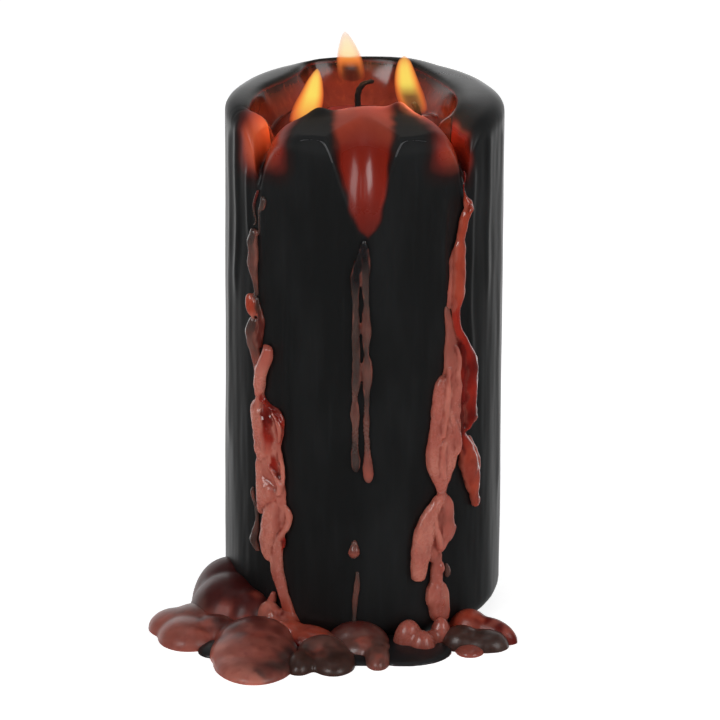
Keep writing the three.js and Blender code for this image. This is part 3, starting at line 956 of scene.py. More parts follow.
@dataclass
class Pillar:
    """The poured pillar: a lathe shape whose top is melted into a bowl, troughs and a front scoop.

    bowl_edge holds [bearing, reach] round the back of the bowl and lip [x, y] across its front. humps
    on the bowl's floor, and nubs on its lip, hold [x, y, wide, deep, tall]. band holds [height, middle,
    half width] of the red wax down the front, and rounding [turn from the front, radius] of the rim.
    ridges down the wall hold [bearing, top, foot, half width in degrees, thickness].
    """

    bowl_edge: tuple[tuple[float, float], ...] = (
        (-72, 43), (-80, 42), (-94, 39.8), (-107, 38.4), (-122, 37.1), (-134, 38.0), (-145, 41.3),
        (-153, 46.4), (-160, 47.8), (-170, 47.8), (179, 47.6), (168, 46.4), (160, 44.2), (152, 41.2),
        (133, 35.8), (109, 33.6), (93, 33.4), (76, 33.7), (56, 35.5))
    lip: tuple[tuple[float, float], ...] = (
        (25, -18.0), (17, -14.0), (10, -12.6), (3, -10.6), (-4, -11.6), (-12, -15.5), (-20, -17.5),
        (-30, -15))
    troughs: tuple[Trough, ...] = (
        Trough(((-22, -6, 178.5), (-31, -13, 177.5), (-34.6, -20, 176), (-36.6, -28, 173), (-38, -35, 169),
                (-39.4, -41, 164)), 1),
        Trough(((20, -6, 178.5), (28, -15, 177.5), (31.8, -23, 176.5), (34.2, -30, 173), (36, -36, 168.5),
                (38, -42, 163.5)), -1,
            mound_side=((0, 0), (0.8, 0.03), (1.6, 0.26), (2.6, 0.46), (4, 0.62), (6, 0.78), (8.5, 0.92),
                        (11.5, 1.02), (15, 1.1)),
            mound_glow=(8.5, 21.5, 0.40), mound_narrows=0.87, shoulder_glow=(0.4, 6.0, 0.04),
            mound_fade=(168.0, 187.0)),
    )
    humps: tuple[tuple[float, float, float, float, float], ...] = (
        (-24, 7, 11, 12, 13.5), (22, 9, 13, 12, 11.0), (0, -4, 14, 9, 12))
    nubs: tuple[tuple[float, float, float, float, float], ...] = (
        (-16.5, -17.0, 4.4, 4.2, 2.7), (12.4, -14.0, 3.8, 4.4, 3.0))
    scoop_low: float = 150.0
    scoop_deep: float = 30.0
    scoop_spread: float = 0.0024
    band: tuple[tuple[float, float, float], ...] = (
        (153, 0.9, -1.2), (155.5, 0.9, 0.6), (158, 0.9, 3.2), (161, 0.9, 4.9), (166.8, 0.8, 6.4),
        (174.5, 0.5, 8.0), (182, -0.2, 9.4), (188, -0.4, 10.6), (194, -0.4, 11.2))
    rounding: tuple[tuple[float, float], ...] = (
        (0, 0.5), (24, 0.6), (34, 4.6), (90, 4.8), (112, 6.5), (145, 6.0), (160, 2.0), (180, 2.0))
    ridges: tuple[tuple[float, float, float, float, float], ...] = (
        (-66.0, 190.0, 120.0, 2.2, 0.7), (-56.0, 176.0, 142.0, 1.6, 0.8), (-46.0, 168.0, 138.0, 1.3, 0.9),
        (-74.0, 186.0, 60.0, 3.0, 0.5), (-33.0, 150.0, 60.0, 1.6, 0.35), (50.0, 178.0, 96.0, 1.8, 0.6),
        (62.0, 188.0, 120.0, 2.6, 0.45), (35.0, 168.0, 128.0, 1.6, 0.6), (-8.0, 158.0, 120.0, 1.6, 0.4),
        (9.0, 162.0, 118.0, 1.6, 0.4), (78.0, 186.0, 40.0, 3.0, 0.35),
    )

    def _bearings(self) -> np.ndarray:
        """Return the columns' bearings, closer together round the melted front."""
        front = np.arange(-80.0, 80.0, 0.55)
        back = np.linspace(80.0, 280.0, 116)
        return np.concatenate((front, back))

    def _outside_bowl(self, x: np.ndarray, y: np.ndarray) -> np.ndarray:
        """Return each point's distance outside the bowl's edge, less than 0 inside."""
        corners = [tuple(at_bearing(bearing, reach, 0.0).xy) for bearing, reach in self.bowl_edge]
        corners += self.lip
        ring = [corners[-1], *corners, corners[0], corners[1]]
        edge = np.array([
            [eased([point[i] for point in ring], 1 + at) for i in range(2)]
            for at in np.linspace(0, len(corners), 130)])
        nearest = np.full(x.shape, FAR)
        inside = np.zeros(x.shape, dtype=bool)
        for start, end in zip(edge[:-1], edge[1:]):
            span = end - start
            nearest = np.minimum(nearest, np.hypot(*off_segment(x, y, start, end)[1:]))
            crosses = (start[1] > y) != (end[1] > y)
            inside ^= crosses & (x < start[0] + (y - start[1]) * span[0] / (span[1] if span[1] else 1e-9))
        return np.where(inside, -nearest, nearest)

    def _heights(self, x: np.ndarray, y: np.ndarray) -> np.ndarray:
        """Return the height of the melted top over each point."""
        outside = self._outside_bowl(x, y)
        front = ramp(2.0, -8.0, y) * ramp(34.0, 26.0, np.abs(x))
        back = ramp(-4.0, 26.0, y)
        width = 3.4 + 7.0 * front + 11.0 * back
        sag = np.clip(-outside / width, 0, 1) ** (1.2 + 0.6 * front - 0.52 * back)
        height = HEIGHT - 21.0 * sag - 0.7 * np.exp(-np.abs(outside) / 1.6)
        for hump_x, hump_y, wide, deep, tall in self.humps:
            bulge = 171.0 + tall * np.exp(-((x - hump_x) / wide) ** 2 - ((y - hump_y) / deep) ** 2)
            height = np.where(outside < 0, -soft_min(-height, -bulge, 0.8), height)
        for trough in self.troughs:
            height = soft_min(height, trough.heights(x, y), 0.7)
        reach = np.hypot(x, y)
        spread = 1.0 + self.scoop_spread * (x + 0.5) ** 2
        rise = np.sqrt(np.clip(spread**2 - ((reach - 20.0).clip(0) / self.scoop_deep) ** 2, 0, None))
        scooped = np.where(y < 0, self.scoop_low + (HEIGHT - self.scoop_low) * rise, SKY)
        height = soft_min(height, scooped, 0.25)
        for nub_x, nub_y, wide, deep, tall in self.nubs:
            height = height + tall * np.exp(-((x - nub_x) / wide) ** 2 - ((y - nub_y) / deep) ** 2)
        return height

    def _sections(self) -> tuple[np.ndarray, np.ndarray, np.ndarray]:
        """Work out the pillar's section at every bearing.

        Returns:
            X, Y and Z of every ring's points, one row for each ring and one column for each bearing.
        """
        bearings = np.radians(self._bearings())
        outward = np.concatenate((np.linspace(0, 42, 145), 50 - 8 * np.linspace(1, 0, 80)[1:] ** 2))
        x = np.outer(outward, np.sin(bearings))
        y = -np.outer(outward, np.cos(bearings))
        height = self._heights(x, y)
        turned = np.degrees(np.abs(bearings - np.where(bearings > math.pi, math.tau, 0.0)))
        rounding = np.interp(turned, *zip(*self.rounding))
        inset = (outward[:, None] - (RADIUS - rounding)).clip(0)
        height = height - (rounding - np.sqrt((rounding**2 - inset**2).clip(0)))
        wall = np.linspace(0, 1, 120)[1:]
        radii = np.concatenate(
            (np.repeat(outward[:, None], len(bearings), 1), np.full((len(wall), len(bearings)), RADIUS)))
        levels = np.concatenate((height, height[-1] + (WALL_LOW - height[-1]) * wall[:, None]))
        steps = np.hypot(np.diff(radii, axis=0), np.diff(levels, axis=0))
        length = np.concatenate((np.zeros((1, len(bearings))), np.cumsum(steps, axis=0)))
        rings = 134
        share = np.linspace(0, 1, rings)
        fine_r = np.empty((rings, len(bearings)))
        fine_z = np.empty((rings, len(bearings)))
        for column in range(len(bearings)):
            at = share * length[-1, column]
            fine_r[:, column] = np.interp(at, length[:, column], radii[:, column])
            fine_z[:, column] = np.interp(at, length[:, column], levels[:, column])
        turn = np.linspace(0, math.pi / 2, 7)
        foot_r = RADIUS - FOOT_ROUND + FOOT_ROUND * np.cos(turn)
        foot_z = FOOT_ROUND - FOOT_ROUND * np.sin(turn)
        lower_z = np.concatenate((np.linspace(WALL_LOW, FOOT_ROUND, 44)[1:], foot_z[1:], np.zeros(3)))
        lower_r = np.concatenate((np.full(43, RADIUS), foot_r[1:], [24.0, 8.0, 0.0]))
        across = np.ones(len(bearings))
        radius = np.concatenate((fine_r, np.outer(lower_r, across)))
        level = np.concatenate((fine_z, np.outer(lower_z, across)))
        return radius * np.sin(bearings), -radius * np.cos(bearings), level

    def _rippled(self, point: Vector) -> Vector:
        """Return a point of the wall moved by its slow ripples and the thin black runs down it."""
        radius = math.hypot(point.x, point.y)
        if radius < RADIUS - 0.5 or point.z < 1.0:
            return point
        bearing = bearing_of(point)
        round_the_wall = Vector((bearing * 0.5, point.z * 0.10, 0.0))
        push = 0.26 * turbulence(round_the_wall, 5.0, 2.0) + 0.10 * turbulence(round_the_wall, 1.6, 6.0)
        for middle, top, low, wide, out in self.ridges:
            sway = 2.2 * turbulence(Vector((middle, point.z, 0.0)), 26.0, 9.0)
            ends = smoothstep(low, low + 14.0, point.z) * (1.0 - smoothstep(top - 6.0, top, point.z))
            push += out * ends * math.exp(-(((bearing - middle - sway) / wide) ** 2))
        push *= smoothstep(0.0, FOOT_ROUND, point.z)
        return Vector((point.x * (1 + push / radius), point.y * (1 + push / radius), point.z))

    def build(self, material: bpy.types.Material) -> bpy.types.Object:
        """Build the pillar.

        Args:
            material: Its wax.

        Returns:
            The finished piece.
        """
        x, y, z = self._sections()
        rings, columns = x.shape
        bm = bmesh.new()
        bmesh.ops.create_grid(bm, x_segments=columns, y_segments=rings - 1, size=1.0)
        for vert in bm.verts:
            column = round((vert.co.x + 1) / 2 * columns) % columns
            ring = round((1 - vert.co.y) / 2 * (rings - 1))
            vert.co = (x[ring, column], y[ring, column], z[ring, column])
        bmesh.ops.remove_doubles(bm, verts=bm.verts, dist=WELD)
        bmesh.ops.dissolve_degenerate(bm, edges=bm.edges, dist=WELD)
        bmesh.ops.recalc_face_normals(bm, faces=bm.faces)
        melted = [
            vert for vert in bm.verts
            if vert.co.z > 150.0 and not (vert.co.xy.length > 48.2 and abs(bearing_of(vert.co)) < 27.0)]
        for _ in range(3):
            bmesh.ops.smooth_vert(
                bm, verts=melted, factor=0.4, use_axis_x=True, use_axis_y=True, use_axis_z=True)
        for vert in bm.verts:
            vert.co = self._rippled(vert.co)
        bm.normal_update()
        self._paint(bm)
        return finished(bm, "pillar", material, (BODY_NODE,))

    def _band_share(self, point: Vector) -> float:
        """Return how far inside the front's red band a point is, from 0 to 1."""
        if point.y > -4 or point.z < self.band[0][0]:
            return 0.0
        level = min(self.band[-1][0], point.z)
        rows = list(zip(*self.band))
        middle = float(np.interp(level, rows[0], rows[1]))
        half = float(np.interp(level, rows[0], rows[2]))
        soft = 1.5 + 1.4 * smoothstep(178, 190, point.z)
        return 1.0 - smoothstep(-soft, soft * 0.8, abs(point.x - middle) - half)

    def _paint(self, bm: bmesh.types.BMesh) -> None:
        """Paint the melt, bowl and soot attributes, and the glow, which is painted flame light."""
        melt_layer, glow_layer, bowl_layer, soot_layer = (
            bm.verts.layers.float.new(name) for name in ("melt", "glow", "bowl", "soot"))
        high = [vert for vert in bm.verts if vert.co.z > 140]
        places = np.array([
            vert.co + 1.2 * Vector((turbulence(vert.co, 6.0), turbulence(vert.co, 6.0, 4.0), 0.0))
            for vert in high])
        true_places = np.array([vert.co for vert in high])
        outside = self._outside_bowl(true_places[:, 0], true_places[:, 1])
        grooves = [trough.melted(places) for trough in self.troughs]
        melts, glows = (np.maximum(*pair) for pair in zip(*grooves))
        for number, vert in enumerate(high):
            below = ramp(191.6, 190.2, vert.co.z)
            bowl = (1.0 - smoothstep(-0.9, 0.3, float(outside[number]))) * float(below)
            band = self._band_share(Vector(places[number]))
            fading = 0.68 + 0.32 * smoothstep(155.0, 178.0, vert.co.z)
            vert[melt_layer] = max(bowl, 0.92 * band * fading, float(melts[number]))
            # painted glow of flame light at the top of the red band and near the troughs
            vert[glow_layer] = max(0.30 * band * smoothstep(183, 192, vert.co.z), float(glows[number]))
            vert[bowl_layer] = bowl * float(ramp(192.0, 174.0, vert.co.z)) ** 0.7
            beside = smoothstep(30.0, 38.0, abs(vert.co.x))
            front = (1.0 - beside) * (1.0 - smoothstep(-28.0, 34.0, vert.co.y))
            front += beside * (1.0 - smoothstep(-36.0, 14.0, vert.co.y))
            clean = (0.13 + 0.14 * smoothstep(4.0, 26.0, vert.co.y)) * (1.0 - front)
            vert[soot_layer] = (front - clean) * smoothstep(184.0, 189.5, vert.co.z) * (1.0 - bowl)


# ---------------------------------------------------------------- wicks, pool and flames
@dataclass
class Burner:
    """One wick with its flame: where it stands, its charred end, and its flame.

    top holds [x, z] up the charred end; flame holds [height, x of its middle, half width] up the flame,
    which is built as some sheaths, from the widest share of that width down by inset.
    """

    name: str
    x: float
    y: float
    top: tuple[tuple[float, float], ...]
    flame: tuple[tuple[float, float, float], ...]
    sheaths: int = 3
    widest: float = 1.04
    inset: float = 0.12

    def build_wick(self, charred: bpy.types.Material) -> bpy.types.Object:
        """Build the braided wick.

        Args:
            charred: Its material.

        Returns:
            The finished piece.
        """
        route = [Vector((self.x, self.y, z)) for z in (2.0, 60.0, 120.0, 165.0, POOL_LEVEL)]
        route += [Vector((px, self.y, pz)) for px, pz in self.top]
        bm = bmesh.new()
        plaits, steps = 3, 150
        twist, out, thickness = 0.9, 0.62, 0.72
        for plait in range(plaits):
            for step in range(steps + 1):
                at = (step / steps) ** 0.55 * (len(route) - 1)
                centre = Vector(eased([point[i] for point in route], at) for i in range(3))
                turn = centre.z * twist + plait * math.tau / plaits
                offset = Vector((math.cos(turn), math.sin(turn), 0.0)) * out
                bmesh.ops.create_icosphere(
                    bm, subdivisions=1, radius=thickness, matrix=Matrix.Translation(centre + offset))
        skin = fused(bm, 0.4, 1)
        skin.normal_update()
        return finished(skin, f"braid_{self.name}", charred, (f"wick_{self.name}",))

    def build_flame(self, fire: Fire) -> list[bpy.types.Object]:
        """Build the flame as nested sheaths.

        Args:
            fire: Its finish.

        Returns:
            One piece for each sheath.
        """
        rows = [[row[part] for row in self.flame] for part in range(3)]
        glow = fire.material(f"fire_{self.name}")
        pieces = []
        for number in range(self.sheaths):
            share = self.widest - self.inset * number
            bm = bmesh.new()
            bmesh.ops.create_uvsphere(bm, u_segments=32, v_segments=44, radius=1.0)
            rise_layer = bm.verts.layers.float.new("rise")
            brim_layer = bm.verts.layers.float.new("brim")
            for vert in bm.verts:
                rise = (vert.co.z + 1.0) / 2.0
                around = math.atan2(vert.co.y, vert.co.x) if 0 < rise < 1 else 0.0
                at = (0.06 * (1 - share) + rise * (0.55 + 0.45 * share)) * (len(self.flame) - 1)
                level, middle, half = (eased(row, min(at, len(self.flame) - 1.0001)) for row in rows)
                girth = (
                    max(0.0, half) * share * min(1.0, (14 * rise) ** 0.5)
                    * min(1.0, (9 * (1 - rise)) ** 0.6))
                vert.co = Vector(
                    (middle + girth * math.cos(around), self.y + girth * math.sin(around), level))
                vert[rise_layer] = rise
                vert[brim_layer] = math.cos(around) ** 2
            bmesh.ops.remove_doubles(bm, verts=bm.verts, dist=WELD)
            bmesh.ops.recalc_face_normals(bm, faces=bm.faces)
            pieces.append(finished(bm, f"fire_{self.name}_{number}", glow, (f"flame_{self.name}",)))
        return pieces


def build_pool(material: bpy.types.Material) -> bpy.types.Object:
    """Build the molten pool from its CAD solid, drawn up a little round each wick.

    Args:
        material: The molten wax.

    Returns:
        The finished piece.
    """
    bm = bmesh.new()
    bm.from_mesh(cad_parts["melt_pool"].data)
    bmesh.ops.remove_doubles(bm, verts=bm.verts, dist=1e-6)
    bmesh.ops.scale(bm, vec=(1 / MM, 1 / MM, 1 / MM), verts=bm.verts)
    skin = fused(bm, 0.7, 2)
    climb = 0.8
    for vert in skin.verts:
        if vert.co.z > POOL_LEVEL - 0.8:
            vert.co.z += climb * sum(
                1.0 - smoothstep(1.4, 4.0, math.hypot(vert.co.x - burner.x, vert.co.y - burner.y))
                for burner in BURNERS)
    skin.normal_update()
    return finished(skin, "molten_pool", material, ("melt_pool",))


# ---------------------------------------------------------------- what ran where
SHADES = dict(zip("PSCRDQTUMBKWN", Wax))

BURNERS = (
    Burner("back", -2, 22, ((-2.5, 181), (-2.4, 186), (-0.6, 189.2), (2.4, 190.3)), (
        (190.6, -4.7, 4.5), (193, -4.9, 4.75), (196, -5.3, 4.75), (199, -5.7, 4.4), (202, -6.1, 3.7),
        (205, -6.6, 2.6), (207.4, -7, 1.5), (209.2, -7.3, 0.6))),
    Burner("left", -20, -11, ((-20, 181), (-19.6, 184.5), (-18.6, 187.4)), (
        (184.5, -21.8, 5.4), (188, -21.1, 5.3), (191.5, -20.2, 5), (195, -19.1, 4.3), (198, -18.4, 3.5),
        (201, -17.8, 2.6), (203.6, -17.3, 1.4), (205.4, -17, 0.6))),
    Burner("right", 19.6, -11, ((19.8, 181), (19.4, 186), (18.9, 189.6), (17.6, 192.6)), (
        (189, 18.4, 3.9), (192, 17.4, 4.6), (195.5, 16.2, 4.9), (199, 15.2, 4.5), (202, 14.6, 4),
        (205, 14.2, 3.3), (208, 14, 2.3), (210.4, 13.9, 1))),
)

BLAZE = (
    ((0, (0.90, 0.20, 0.06)), (0.25, (1, 0.46, 0.08)), (0.5, (1, 0.76, 0.13)), (0.8, (1, 0.70, 0.13)),
     (1, (1, 0.38, 0.09))),
    ((0, (0.76, 0.10, 0.03)), (0.4, (0.96, 0.17, 0.035)), (0.75, (1, 0.25, 0.05)), (1, (1, 0.32, 0.09))),
)
FIRES = {
    "back": Fire(
        ((0, (0.90, 0.20, 0.06)), (0.40, (1, 0.24, 0.045)), (0.49, (1, 0.32, 0.06)), (0.53, (1, 0.84, 0.46)),
         (0.78, (0.98, 0.80, 0.52)), (1, (0.98, 0.70, 0.62))),
        ((0, (0.85, 0.14, 0.04)), (0.46, (1, 0.26, 0.06)), (0.53, (1, 0.64, 0.38)), (1, (0.92, 0.74, 0.68))),
        0.98, 0.46, 0.32, ((0, 0), (0.14, 0.10), (0.42, 0.40), (0.60, 0.42), (0.85, 0.36), (1, 0.16))),
    "left": Fire(*BLAZE, 0.3, 0.25, 0),
    "right": Fire(*BLAZE, 0.93, 0.56, 0.34),
}

LEFT_RUN = (
    Strand(((-47.4, 92, 1.2), (-47, 88, 2), (-46, 84, 2.6)), 0.7, 0.3, "PSS", (0.4, 0.3)),
    Strand(((-38.6, 66, 1.6), (-37.4, 61, 3.2), (-36.6, 56, 3.6), (-36.4, 51, 3.6), (-36, 46, 3.4),
        (-35.6, 41, 2.2)), 0.5, 0.3, "RPPSPP", (0.8, 0.5, 0.4)),
    Strand(((-43.5, 88, 2), (-41, 83, 4.2), (-39.8, 76, 4.6), (-40.5, 69, 4.4), (-41, 61, 4), (-40.8, 54, 3)),
        0.5, 0.2, "RDRSPP", (1, 0.8, 0.4)),
    Strand(((-39.5, 54, 2), (-38.4, 48, 3.4), (-38.6, 42, 3.2), (-40, 35, 2)), 0.45, 0, "PQP", (0.6, 0.6)),
    Strand(((-48.6, 167.5, 0.6), (-49.9, 164.6, 0.7), (-51.2, 161.3, 0.7), (-50.9, 158, 0.6),
        (-49.9, 155.6, 0.5), (-51.1, 153.4, 0.8)), 0.9, 0, "DKK", (1, 1, 0.9)),
    Strand(((-45.9, 165.9, 0.9), (-45.2, 163.8, 1.2), (-46, 161.4, 1.3), (-47.7, 158.7, 0.7),
        (-47.7, 154.9, 0.5), (-48.1, 150.3, 0.6)), 0.8, 0, "KKK", (0.8, 0.5, 0.6)),
    Strand(((-51.1, 152.7, 1.4), (-51.1, 150.1, 2.2), (-51.2, 147.6, 2.5), (-51, 143.3, 2.4),
        (-51.2, 138.8, 2.5), (-50.5, 134.6, 1.8), (-50, 130.7, 1.2), (-49.5, 127.4, 1)),
        0.75, 0, "KKBBK", (0.7, 0.5, 0.3, 0.3, 0.5)),
    Strand(((-49.3, 127.1, 0.9), (-48.8, 124.9, 1.1), (-47.5, 122.1, 1.3), (-46.7, 118.8, 1.6),
        (-46.7, 115.2, 1.5), (-47.5, 110.6, 1.3), (-47.3, 108.2, 1)), 0.8, 0, "KUMMM", (0.6, 0.6, 0.8, 0.8)),
    Strand(((-50.8, 113, 1.8), (-49.8, 107, 2.4), (-48.6, 101, 2.2), (-47.8, 95, 1.6)),
        0.6, 0, "KBQQ", (0.4, 0.3)),
    Strand(((-51.3, 128.4, 1.3), (-51.2, 126.2, 1.9), (-50.8, 124, 2.1), (-50.3, 121.9, 1.9),
        (-49.9, 119.7, 1.2)), 0.95, 1.2, "SCCCS", (0.6, 1, 1, 1, 0.6)),
    Strand(((-50.4, 119.4, 1.4), (-50.7, 117.1, 2.1), (-51, 113.5, 2.8), (-50.7, 110, 2.4), (-50, 106.7, 1.7),
        (-49.1, 103.3, 1.3), (-48.9, 98.8, 0.9)), 0.85, 0.6, "KKBBQB", (1, 0.6, 0.3, 0.3, 0.3)),
    Strand(((-43.1, 110.9, 1), (-41.8, 109.4, 1.9), (-41.9, 106.7, 2.4), (-43.1, 103.8, 2.7),
        (-44.9, 101, 2.7), (-45.6, 98.1, 2.5), (-45.8, 95.4, 2.4), (-46.1, 92.7, 2), (-46.7, 89.9, 1.4)),
        0.9, 0.8, "PPPSSSP", (1, 0.9, 0.5, 0.2, 0.2, 0.2)),
    Strand(((-45.9, 92.1, 1), (-44.7, 89.3, 1.5), (-41.3, 87.9, 1.8), (-37.8, 86.5, 1.9), (-35.6, 83.5, 1.7),
        (-35.2, 79.3, 1.2), (-36.3, 74.5, 1)), 0.8, 0.5, "DRDRR", (1, 1, 1, 1, 1)),
    Strand(((-48.3, 89, 1.3), (-48, 86.5, 2.5), (-46.6, 84.2, 3.7), (-45, 82, 4.6), (-43.7, 79.2, 5),
        (-42.8, 76, 5), (-42.8, 72.5, 4.8), (-43.7, 69.2, 4.1), (-45.3, 65.7, 2.8)),
        0.62, 0.6, "PSSPSP", (0.3, 0.2, 0.2, 0.2)),
    Strand(((-38.5, 86.5, 0.6), (-36.5, 84.7, 0.8), (-34.8, 82, 0.9), (-34.3, 78.6, 0.8), (-34.8, 75.4, 0.6)),
        1, 2.6, "SSP", (0.8, 0.8, 0.6)),
    Strand(((-45.7, 67.9, 2.1), (-45, 64.7, 2.6), (-44.3, 61.4, 3), (-42.7, 59.2, 3.8), (-41, 56.9, 4.5),
        (-40.9, 54.3, 4.6), (-42.2, 51.2, 3.8), (-44.1, 48, 2.5), (-45.4, 45.4, 1.2)),
        0.7, 0.9, "PSSSPS", (0.3, 0.2, 0.2, 0.2)),
    Strand(((-39.8, 71.9, 0.9), (-38.3, 69, 1.5), (-37.4, 65.6, 1.6), (-36.5, 62.2, 1.2)),
        0.8, 0.6, "DRD", (1, 1, 1)),
    Strand(((-40.7, 66.6, 0.6), (-38.6, 64.7, 0.8), (-36.1, 61.8, 0.9), (-34.1, 58.8, 1), (-34.8, 55.2, 1.1)),
        1, 2.7, "SSS", (0.8, 0.6, 0.2)),
    Strand(((-35.6, 73.8, 0.6), (-34.8, 70.1, 0.7), (-34, 65.7, 0.8), (-33.6, 61.2, 0.8), (-34.1, 56.9, 0.8),
        (-35.5, 53.5, 0.7)), 1.1, 1.4, "PSSP", (0.6, 0.4, 0.3, 0.3)),
    Strand(((-37.9, 53, 1.7), (-38.1, 50.7, 2.9), (-38.7, 48.3, 3.6), (-39.1, 45.5, 3.7), (-39.7, 42.2, 3.6),
        (-40.5, 38.8, 3.4), (-41.3, 35.4, 3.1), (-41.4, 32.7, 2.6), (-40.9, 30, 1.8), (-40.9, 28.4, 1)),
        0.75, 1.3, "PSSSSS", (0.5, 0.2, 0.2, 0.2, 0.2)),
    Strand(((-36.2, 53.7, 0.7), (-33.7, 51.7, 1), (-31.6, 49.4, 1.2), (-30.9, 46.4, 1.2), (-32, 43, 1.2),
        (-34, 40.3, 1.3), (-35.4, 37.5, 1.1)), 1, 0.7, "QSSSP", (0.9, 0.8, 0.4, 0.3, 0.3)),
    Strand(((-37.1, 40.8, 1.6), (-36.4, 36.8, 1.9), (-36.7, 32.5, 2.3), (-37.3, 28.8, 2.5),
        (-36.9, 25.3, 2.6), (-35.7, 21.9, 2.5), (-34.2, 17.7, 2.2), (-32.5, 13.5, 2.2), (-31.1, 10.2, 2.4),
        (-30.2, 7, 2.7)), 0.8, 0.2, "PSSPPCP", (0.2, 0.2, 0.2, 0.3, 0.5)),
    Strand(((-33.8, 39.3, 0.6), (-33.5, 36.7, 0.8), (-34, 34.2, 0.7)), 0.9, 0.8, "RDR", (1, 1, 1)),
    Strand(((-38.4, 17.1, 0.9), (-39.1, 14.3, 1.7), (-40.2, 11, 2.4), (-38.7, 8.7, 3.2), (-36.2, 6.9, 3.6)),
        0.9, 1, "PPSPP", (1, 1, 1, 1, 1)),
)
LEFT_SIDE_RUN = (
    Strand(((-51.3, 54.3, 0.6), (-52, 51.8, 1.2), (-51.3, 49.6, 1.1), (-49.6, 47.4, 0.9), (-48.8, 44.5, 0.9),
        (-48.9, 41, 0.9), (-49.6, 37.7, 1.5), (-50.5, 34.4, 1.9), (-49.5, 31.6, 1.7), (-48.5, 29.8, 0.9)),
        0.85, 0, "KBKBKB", (0.4, 0.3, 0.3)),
)
RIGHT_RUN = (
    Strand(((33, 55.5, 1.8), (32.4, 49, 3.6), (31, 43, 4.2), (30.2, 37, 3.4), (31.5, 29, 2.2)),
        0.55, 0.2, "PQPP", (0.4, 0.4)),
    Strand(((34.4, 100.8, 1.6), (33.2, 97.3, 2.7), (32.3, 92.1, 2.8), (31.4, 86.5, 2.6), (30.5, 79.8, 2.6),
        (29.8, 73.5, 3.1), (30, 68.9, 3.4), (31.4, 64, 3.1), (33, 59.4, 2.3), (33.7, 56.2, 1.8)),
        0.75, 0.3, "QPPPSPP", (0.2, 0.2, 0.2)),
    Strand(((36, 126.9, 1), (36.3, 124.2, 1.5), (37.4, 119.5, 1.8), (37.8, 113.7, 2.4), (37.8, 108.1, 3.1),
        (38, 102.4, 3.4), (38.3, 96.7, 3.7), (38.1, 91, 4), (37.8, 85.3, 4), (37.9, 79.6, 4.2),
        (37.5, 73.9, 4.3), (36.3, 69.2, 4.2), (35.4, 64.7, 3.6), (34.7, 60.2, 2.6), (34.3, 56.3, 1.9),
        (33.9, 53.7, 2)), 0.7, 0, "BQQPPPSPP", (0.4, 0.3, 0.2, 0.2)),
    Strand(((36, 87.2, 0.7), (37.4, 83.2, 1.3), (38.8, 78.3, 1.7), (39.2, 73.7, 1.7), (38.1, 70, 1.3)),
        1.1, 2.6, "SPS", (0.2, 0.2)),
    Strand(((39, 112, 0.7), (40.2, 107, 1), (39.6, 101, 1.2), (40.4, 95, 1.1), (40.6, 89, 0.8)),
        1.2, 2.2, "QPSPQ", (0.3, 0.3)),
    Strand(((35.6, 104, 0.7), (34.8, 98, 1.1), (34.6, 91, 1.2), (33.4, 84, 1.1), (33, 78, 0.8)),
        1.2, 2.3, "PSSP", (0.3, 0.3)),
    Strand(((33.8, 76, 0.8), (32.4, 72, 1.3), (32.2, 67, 1.5), (33.2, 62, 1.1)), 1.2, 2.2, "SPS", (0.3, 0.3)),
    Strand(((33.7, 56.9, 1.9), (31.4, 53.9, 2.6), (28.8, 50.9, 3.1), (26.5, 47.5, 3.4), (25, 43.1, 3.8),
        (24.2, 38.2, 4), (23.6, 34, 3.8), (23.1, 30.2, 3.4), (22.8, 26.7, 2.8), (22.8, 24.1, 2)),
        0.75, 1.2, "PSSSPSS", (0.2, 0.2, 0.2)),
    Strand(((34.4, 55.9, 1.7), (35.6, 52.6, 2.5), (35.9, 49.1, 2.8), (35.7, 45.7, 3), (35.2, 42.4, 3.2),
        (34.1, 39.1, 2.8), (33, 36.1, 2.3), (32, 33.9, 1.5)), 0.85, 0.9, "PPQPPP", (0.4, 0.3, 0.3)),
    Strand(((37.6, 50.5, 0.7), (38.5, 47.7, 1.3), (38.2, 45, 1.1), (39, 42.2, 1.4), (38.1, 39.3, 1.3),
        (36.4, 37.3, 1.1)), 0.9, 1, "QBQPQ", (0.7, 0.5, 0.6)),
    Strand(((29.9, 48.8, 0.7), (29.6, 45.8, 0.9), (30.4, 42.3, 1.1), (31.2, 38.6, 1.2), (31.6, 35.4, 0.7)),
        1, 3, "SSP", (0.3, 0.3)),
    Strand(((32.9, 30.6, 1.1), (32.9, 28, 1.9), (33.1, 25.6, 1.5)), 0.9, 0.9, "PPQ", (0.4, 0.4)),
    Strand(((36.6, 28.8, 0.7), (37.6, 25.5, 1.3), (37.4, 22.8, 1)), 0.9, 0, "KBK", (0.4, 0.4)),
    Strand(((32.2, 33.6, 1.8), (31.8, 30.7, 2.2), (31.6, 26.8, 2.4), (31.5, 23, 2.7), (31, 19.3, 3.5),
        (30.9, 15.8, 3.7), (31.7, 12.5, 3.4), (32.5, 9.3, 3.1), (33.3, 6.3, 2.7)),
        0.8, 0.2, "QPPPPP", (0.3, 0.2, 0.3)),
    Strand(((34.1, 22, 0.9), (35.1, 18, 1.4), (35.7, 13.6, 1.4), (35.4, 9.7, 1.4), (34.3, 6.9, 1.4)),
        1, 1.4, "PSPP", (0.3, 0.3)),
    Strand(((28.6, 22.3, 0.7), (28, 18.6, 1.2), (28.9, 14.6, 1.4), (30.6, 11.1, 1.1)),
        1, 1.6, "PSP", (0.3, 0.3)),
)
